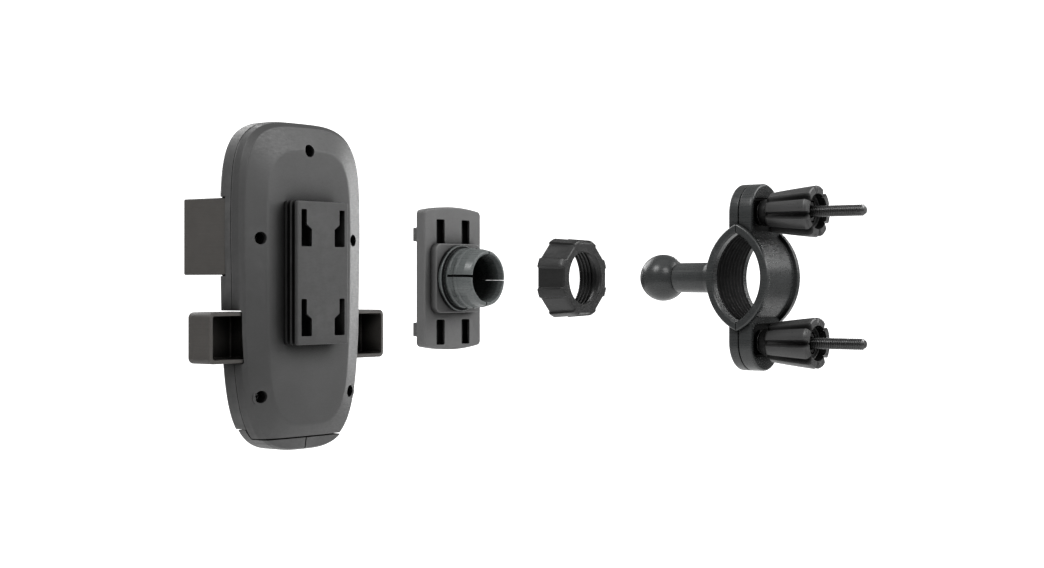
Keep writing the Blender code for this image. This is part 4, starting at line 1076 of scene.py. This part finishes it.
def back_cover():
    """The rear shell: side wall, narrow chamfer, sloping facet and flat middle, with screw wells."""
    outer = filleted([
        (0.0, SEAM_Y, 0.0),
        (0.15 * MM, SEAM_Y + 0.5 * MM, 0.4 * MM),
        (0.5 * MM, BACK_Y - 5.6 * MM, 1.6 * MM),
        (2.2 * MM, BACK_Y - 3.4 * MM, 1.3 * MM),
        (12.0 * MM, BACK_Y, 5.0 * MM),
        (16.0 * MM, BACK_Y, 0.0),
    ], 5)
    inner = [(15.0 * MM, BACK_Y - SHELL), (12.0 * MM, BACK_Y - SHELL), (4.0 * MM, BACK_Y - 5.2 * MM),
             (2.5 * MM, BACK_Y - 6.6 * MM), (SHELL, SEAM_Y)]
    cover = shell("back_cover", outer, inner)
    bosses, wells = [], []
    for _, x, z in screw_places():
        bosses.append(rod("boss", BOSS_RADIUS, (BACK_Y - 2.9 * MM, BOSS_END_Y), x, z, 56))
        wells.append(turned("well", [
            (0.0, SCREW_HEAD_Y - 1.9 * MM),
            (SCREW_HEAD_RADIUS + GAP, SCREW_HEAD_Y - 1.9 * MM),
            (SCREW_HEAD_RADIUS + GAP, BACK_Y - 2.4 * MM),
            (SCREW_HEAD_RADIUS + 0.5 * MM, BACK_Y + MM),
            (0.0, BACK_Y + MM),
        ], x, z, 48))
        wells.append(rod("hole", SHANK_RADIUS + GAP, (BACK_Y, BOSS_END_Y - MM), x, z, 24))
    join(cover, *bosses)
    cut(cover, *wells)
    cut(cover, foot_space(), *[arm_opening(side) for side in (1, -1)])
    publish(cover, "back_cover", "cradle", CRADLE, 30)


def front_cover():
    """The phone-side shell with its side openings and the hangers that carry the feet."""
    seam = SEAM_Y - GAP
    outer = filleted([
        (0.0, seam, 0.0),
        (0.0, FRONT_Y + 2.6 * MM, 1.0 * MM),
        (1.2 * MM, FRONT_Y + 0.8 * MM, 1.0 * MM),
        (3.4 * MM, FRONT_Y, 1.2 * MM),
        (9.0 * MM, FRONT_Y, 0.0),
    ], 5)
    inner = [(9.0 * MM, FRONT_Y + SHELL), (3.6 * MM, FRONT_Y + SHELL), (SHELL, FRONT_Y + 3.0 * MM),
             (SHELL, seam)]
    cover = shell("front_cover", outer, inner)
    cuts = [foot_space()]
    for side in (1, -1):
        cuts += [arm_opening(side), jaw_opening(side), rack_opening(side)]
    cut(cover, *cuts)
    groove = slab("groove", rounded_box_outline(26.5 * MM, 34.0 * MM, 7.0 * MM, 0.0, 20.9 * MM, 8),
                  FRONT_Y - MM, FRONT_Y + 0.6 * MM)
    island = slab("island", rounded_box_outline(25.7 * MM, 33.2 * MM, 6.2 * MM, 0.0, 20.9 * MM, 8),
                  FRONT_Y - 2 * MM, FRONT_Y + 2 * MM)
    cut(cover, cut(groove, island))
    for side in (1, -1):
        x = (side * (PIN_X - KNUCKLE_HALF), side * (PIN_X + KNUCKLE_HALF))
        web = box("web", x, (PIN_Y - KNUCKLE_RADIUS, PIN_Y + KNUCKLE_RADIUS * 0.8),
                  (PIN_Z, FOOT_FRONT_SEAM_Z + 4.0 * MM))
        knuckle = rod("knuckle", KNUCKLE_RADIUS, x, PIN_Y, PIN_Z, 48, along="X")
        join(cover, web, knuckle)
        cut(cover, rod("eye", PIN_RADIUS + GAP, (side * MM, side * 20 * MM), PIN_Y, PIN_Z, 32, along="X"))
    publish(cover, "front_cover", "cradle", CRADLE, 30)


def cover_screw(label, x, z):
    """A pan-head screw with a cross recess, turned to an angle of its own."""
    head, top = SCREW_HEAD_RADIUS, SCREW_HEAD_Y
    under = top - 1.7 * MM
    body = turned("screw", filleted([
        (0.0, top, 0.0),
        (head * 0.62, top, 0.6 * MM),
        (head, top - 0.7 * MM, 0.3 * MM),
        (head, under, 0.15 * MM),
        (SHANK_RADIUS, under, 0.0),
        (SHANK_RADIUS, FRONT_Y + 4.5 * MM, 0.3 * MM),
        (0.0, FRONT_Y + 4.0 * MM, 0.0),
    ], 4), x, z, 48)
    deep = (top - 1.0 * MM, top + MM)
    wide, thin = 1.35 * MM, 0.24 * MM
    for quarter in (0, 90):
        arm = box("slot", (-wide, wide), deep, (-thin, thin))
        turn = math.radians(quarter + 31 + 4000 * z)
        arm.data.transform(Matrix.Translation((x, 0.0, z)) @ Matrix.Rotation(turn, 4, "Y"))
        cut(body, arm)
    publish(body, "cover_screw_" + label, "cradle", SCREW_STEEL)


def slot_outline(side, row):
    """An L-shaped slot: narrow above on the outer side, wide below towards the middle."""
    outer, inner = COLUMN_X + 3.1 * MM, COLUMN_X - 3.1 * MM
    step = outer - 3.2 * MM
    top, bottom = row + 8.0 * MM, row - 7.8 * MM
    points = [
        (outer, bottom, 0.5 * MM),
        (outer, top, 0.5 * MM),
        (step, top, 0.5 * MM),
        (step, row + 1.6 * MM, 0.6 * MM),
        (inner, row - 0.4 * MM, 0.5 * MM),
        (inner, bottom, 0.5 * MM),
    ]
    return filleted([(side * x, z, radius) for x, z, radius in points], 4, closed=True)


def slot_plate():
    """The raised plate the claws lock into: hollow behind, two grooves along each side, four slots."""
    bottom, top = PAD_Z - PAD_HALF_HEIGHT, PAD_Z + PAD_HALF_HEIGHT
    back = BACK_Y + GAP
    outline = rounded_box_outline(PAD_HALF_WIDTH, PAD_HALF_HEIGHT, 1.2 * MM, 0.0, PAD_Z)
    pad = slab("slot_plate", outline, back, FACE_Y, edges=(0.15 * MM, 0.6 * MM))
    wall = 2.4 * MM
    groove = ((1.0, 0.0), (-1.5, 0.12), (-1.8, 0.5), (-1.8, 1.6), (-1.5, 1.98), (1.0, 2.1))
    cuts = [box("hollow", (wall - PAD_HALF_WIDTH, PAD_HALF_WIDTH - wall), (back - MM, FACE_Y - 1.2 * MM),
                (bottom + 2 * MM, top - 2 * MM))]
    for side in (1, -1):
        for level in (1, -1):
            outline = slot_outline(side, PAD_Z + level * ROW_Z)
            cuts.append(slab("slot", outline, FACE_Y - 5 * MM, FACE_Y + MM))
        for y in (FACE_Y - 1.4 * MM, FACE_Y - 1.4 * MM - 2.8 * MM):
            section = [(side * (PAD_HALF_WIDTH + out * MM), y - drop * MM) for out, drop in groove]
            cuts.append(upright("groove", section, (bottom - MM, top + MM)))
    cut(pad, *cuts)
    publish(pad, "slot_plate", "cradle", CRADLE_PAD)


def phone_pad():
    """The rubber rest with soft edges and seven shallow grooves."""
    near, far = low("phone_pad"), high("phone_pad")
    half, middle = (far.z - near.z) / 2, (far.z + near.z) / 2
    outline = rounded_box_outline(far.x, half, 5 * MM, 0.0, middle, 8)
    pad = slab("phone_pad", outline, far.y, near.y, edges=(0.05 * MM, 0.4 * MM))
    grooves = []
    for k in range(-3, 4):
        strip = rounded_box_outline(far.x - 4 * MM, 0.7 * MM, 0.65 * MM, 0.0, middle + k * 7.4 * MM, 5)
        grooves.append(slab("groove", strip, near.y - MM, near.y + 0.45 * MM))
    cut(pad, *grooves)
    publish(pad, "phone_pad", "cradle", RUBBER)


# ---- jaws, arms and feet


def side_jaw(label, side):
    """A flat jaw with soft edges on its toothed bar, which keeps the frame's own teeth."""
    node = "side_jaw_" + label
    bar = tidied(new_object(node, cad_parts[node].data.copy()), 1.0)
    inner, outer = side * JAW_INNER_X, side * JAW_OUTER_X
    keep(bar, box("inside", (-side * 60 * MM, inner + side * 0.9 * MM), (RACK_FRONT_Y - HAIR, -200 * MM),
                  (JAW_Z - 30 * MM, JAW_Z + 30 * MM)))
    half, middle = (JAW_BACK_Y - JAW_FRONT_Y) / 2, (JAW_BACK_Y + JAW_FRONT_Y) / 2
    outline = rounded_box_outline(half, JAW_HALF_HEIGHT, 0.7 * MM, middle, JAW_Z, 4)
    panel = slab("panel", outline, inner, outer, "X", edges=(0.35 * MM, 0.5 * MM))
    join(panel, bar)
    publish(panel, node, "jaw_" + label, JAW)


def jaw_pad(label, side):
    """The jaw's rubber face with seven shallow grooves."""
    node = "jaw_pad_" + label
    near, far = low(node), high(node)
    face, back = sorted((near.x, far.x), key=abs)
    half, middle = (far.y - near.y) / 2, (far.y + near.y) / 2
    outline = rounded_box_outline(half, (far.z - near.z) / 2, 1.2 * MM, middle, JAW_Z)
    pad = slab(node, outline, back, face, "X", edges=(0.05 * MM, 0.35 * MM))
    grooves = []
    for k in range(-3, 4):
        strip = rounded_box_outline(half - 1.5 * MM, 0.5 * MM, 0.45 * MM, middle, JAW_Z + k * 3.6 * MM, 4)
        grooves.append(slab("groove", strip, face - side * MM, face + side * 0.4 * MM, "X"))
    cut(pad, *grooves)
    publish(pad, node, "jaw_" + label, RUBBER)


def lower_arm(label, side):
    """A tray with rounded corners, open at the back, on a tongue that slides inside the cradle."""
    node = "lower_arm_" + label
    half = ARM_HALF_HEIGHT
    middle_x = side * (ARM_INNER_X + ARM_OUTER_X) / 2
    half_x = (ARM_OUTER_X - ARM_INNER_X) / 2
    corners = [
        (side * ARM_INNER_X, ARM_Z - half, 0.5 * MM),
        (side * ARM_OUTER_X, ARM_Z - half, 2.4 * MM),
        (side * ARM_OUTER_X, ARM_Z + half, 2.4 * MM),
        (side * ARM_INNER_X, ARM_Z + half, 0.5 * MM),
    ]
    wall = 1.6 * MM
    outline = filleted(corners, 8, closed=True)
    tray = slab(node, outline, ARM_FRONT_Y, ARM_BACK_Y, edges=(wall, 0.5 * MM))
    hollow_outline = rounded_box_outline(half_x - wall, half - wall, 1.2 * MM, middle_x, ARM_Z, 6)
    hollow = slab("hollow", hollow_outline, ARM_FRONT_Y + wall, ARM_BACK_Y + MM, edges=(0.8 * MM, 0.0))
    cut(tray, hollow)
    tongue = box("tongue", (side * 15.5 * MM, side * (ARM_INNER_X + 0.5 * MM)), (RACK_FRONT_Y, RACK_BACK_Y),
                 (ARM_Z - 7 * MM, ARM_Z + 7 * MM))
    bevel(tongue, 0.3 * MM)
    join(tray, tongue)
    publish(tray, node, "arm_" + label, JAW)


def foot(label, side):
    """Half of the cradle's bottom edge, with a slot for the hanger that carries its pin."""
    node = "foot_" + label
    stations = filleted([
        (9.0 * MM, BACK_Y - 1.7 * MM, 0.0),
        (1.7 * MM, BACK_Y - 3.0 * MM, 0.8 * MM),
        (1.0 * MM, BACK_Y - 5.0 * MM, 1.2 * MM),
        (1.0 * MM, FRONT_Y + 2.2 * MM, 0.8 * MM),
        (2.2 * MM, FOOT_FRONT_Y, 0.6 * MM),
        (9.0 * MM, FOOT_FRONT_Y, 0.0),
    ], 4)
    body = loft(node, [cradle_outline(inset, y) for inset, y in stations])
    lowest = CRADLE_Z - 1.1 * HALF_HEIGHT
    section = [
        (BACK_Y + MM, lowest),
        (BACK_Y + MM, FOOT_SEAM_Z - 2.2 * GAP),
        (FOOT_STEP_Y, FOOT_SEAM_Z - 2.2 * GAP),
        (FOOT_STEP_Y, FOOT_FRONT_SEAM_Z - GAP),
        *arc((PIN_Y, PIN_Z), 3.0 * MM, 90, 180, 16),
        (FRONT_Y - MM, PIN_Z),
        (FRONT_Y - MM, lowest),
    ]
    keep(body, slab("half", section, side * GAP, side * HALF_WIDTH, "X"))
    reach = KNUCKLE_RADIUS + GAP
    slot_x = (side * (PIN_X - KNUCKLE_HALF - GAP), side * (PIN_X + KNUCKLE_HALF + GAP))
    slot = box("slot", slot_x, (FRONT_Y - MM, PIN_Y + reach), (PIN_Z - reach, FOOT_FRONT_SEAM_Z + MM))
    bore_x = (side * (PIN_X - PIN_HALF - GAP), side * (PIN_X + PIN_HALF + GAP))
    cut(body, slot, rod("bore", PIN_RADIUS + GAP, bore_x, PIN_Y, PIN_Z, 32, along="X"))
    tidied(body)
    publish(body, node, node, CRADLE, 30)


# ---- assembly


def build_clamp():
    clamp_base()
    clamp_cap()
    liner("bar_liner_rear", -1, "clamp")
    liner("bar_liner_front", 1, "cap")
    for label, z, phase in (("upper", BOLT_Z, -0.166), ("lower", -BOLT_Z, 0.0)):
        bolt("clamp_bolt_" + label, z)
        washer("washer_" + label, z)
        thumb_nut("thumb_nut_" + label, z, "nut_" + label, phase)
        nut_insert("nut_insert_" + label, z, "nut_" + label)


def build_coupling():
    stud()
    ring_nut()
    socket_collet()
    claw_plate()


def build_cradle():
    back_cover()
    front_cover()
    slot_plate()
    phone_pad()
    for label, x, z in screw_places():
        cover_screw(label, x, z)
    for label, side in (("left", 1), ("right", -1)):
        side_jaw(label, side)
        jaw_pad(label, side)
        lower_arm(label, side)
        foot(label, side)
        dressed("foot_pin_" + label, ZINC)
        dressed("jaw_spring_" + label, ZINC)
    dressed("pinion", SOCKET)


build_clamp()
build_coupling()
build_cradle()

# ---- floor, backdrop, light and camera


def plain_material(name, level, emission=0.0):
    material = bpy.data.materials.new(name)
    material.use_nodes = True
    inputs = material.node_tree.nodes["Principled BSDF"].inputs
    inputs["Base Color"].default_value = (*grey(level), 1.0)
    inputs["Roughness"].default_value = 0.9
    inputs["Emission Color"].default_value = (1.0, 1.0, 1.0, 1.0)
    inputs["Emission Strength"].default_value = emission
    return material


def stage_floor():
    shape = bmesh.new()
    bmesh.ops.create_circle(shape, cap_ends=True, segments=96, radius=0.80)
    bmesh.ops.translate(shape, vec=(0.0, CENTRE.y, FLOOR_Z), verts=shape.verts)
    obj = from_bmesh("floor", shape)
    obj.data.materials.append(plain_material("pale_floor", 0.82))


def backdrop():
    """A white dome that only the camera sees, so that it neither lights nor reflects."""
    shape = bmesh.new()
    bmesh.ops.create_icosphere(shape, subdivisions=4, radius=6.0)
    bmesh.ops.translate(shape, vec=CENTRE, verts=shape.verts)
    obj = from_bmesh("backdrop", shape)
    obj.data.materials.append(plain_material("white_dome", 0.0, emission=1.6))
    for ray in ("diffuse", "glossy", "transmission", "volume_scatter", "shadow"):
        setattr(obj, "visible_" + ray, False)


def area_light(name, azimuth, elevation, distance, size, power):
    """A square soft light aimed at the object's centre, from an azimuth counted from -Y towards +X."""
    turn, rise = math.radians(azimuth), math.radians(elevation)
    direction = Vector((math.sin(turn) * math.cos(rise), -math.cos(turn) * math.cos(rise), math.sin(rise)))
    lamp = bpy.data.lights.new(name, "AREA")
    lamp.shape = "SQUARE"
    lamp.size = size
    lamp.energy = power
    obj = new_object(name, lamp)
    obj.location = CENTRE + direction * distance
    obj.rotation_euler = direction.to_track_quat("Z", "Y").to_euler()


CENTRE = Vector((0.0, -0.1039, -0.0023))
CAMERA_AZIMUTH = 128.0
CAMERA_DISTANCE = 0.70
CAMERA_LENS = 61.9
FLOOR_Z = -0.30
WORLD_STRENGTH = 0.28

stage_floor()
backdrop()
area_light("key", 215.0, 30.0, 1.0, 0.7, 7.6)
area_light("fill", 140.0, 36.0, 1.1, 0.35, 3.0)
area_light("top", 120.0, 75.0, 0.9, 0.8, 1.1)
area_light("side", 80.0, 45.0, 1.1, 0.35, 5.0)
area_light("front", 350.0, 25.0, 1.1, 0.8, 8.0)
area_light("rim", 274.0, 8.0, 1.0, 0.5, 5.0)

world = bpy.data.worlds.new("studio")
bpy.context.scene.world = world
world.use_nodes = True
world.node_tree.nodes["Background"].inputs["Color"].default_value = (1.0, 1.0, 1.0, 1.0)
world.node_tree.nodes["Background"].inputs["Strength"].default_value = WORLD_STRENGTH
bpy.context.scene.view_settings.view_transform = "Standard"

camera = bpy.data.cameras.new("camera")
camera.sensor_width = 36.0
camera.lens = CAMERA_LENS
camera.clip_start = 0.01
camera.clip_end = 20.0
view = new_object("camera", camera)
turn = math.radians(CAMERA_AZIMUTH)
view.location = CENTRE + Vector((math.sin(turn), -math.cos(turn), 0.0)) * CAMERA_DISTANCE
view.rotation_euler = (view.location - CENTRE).to_track_quat("Z", "Y").to_euler()
bpy.context.scene.camera = view
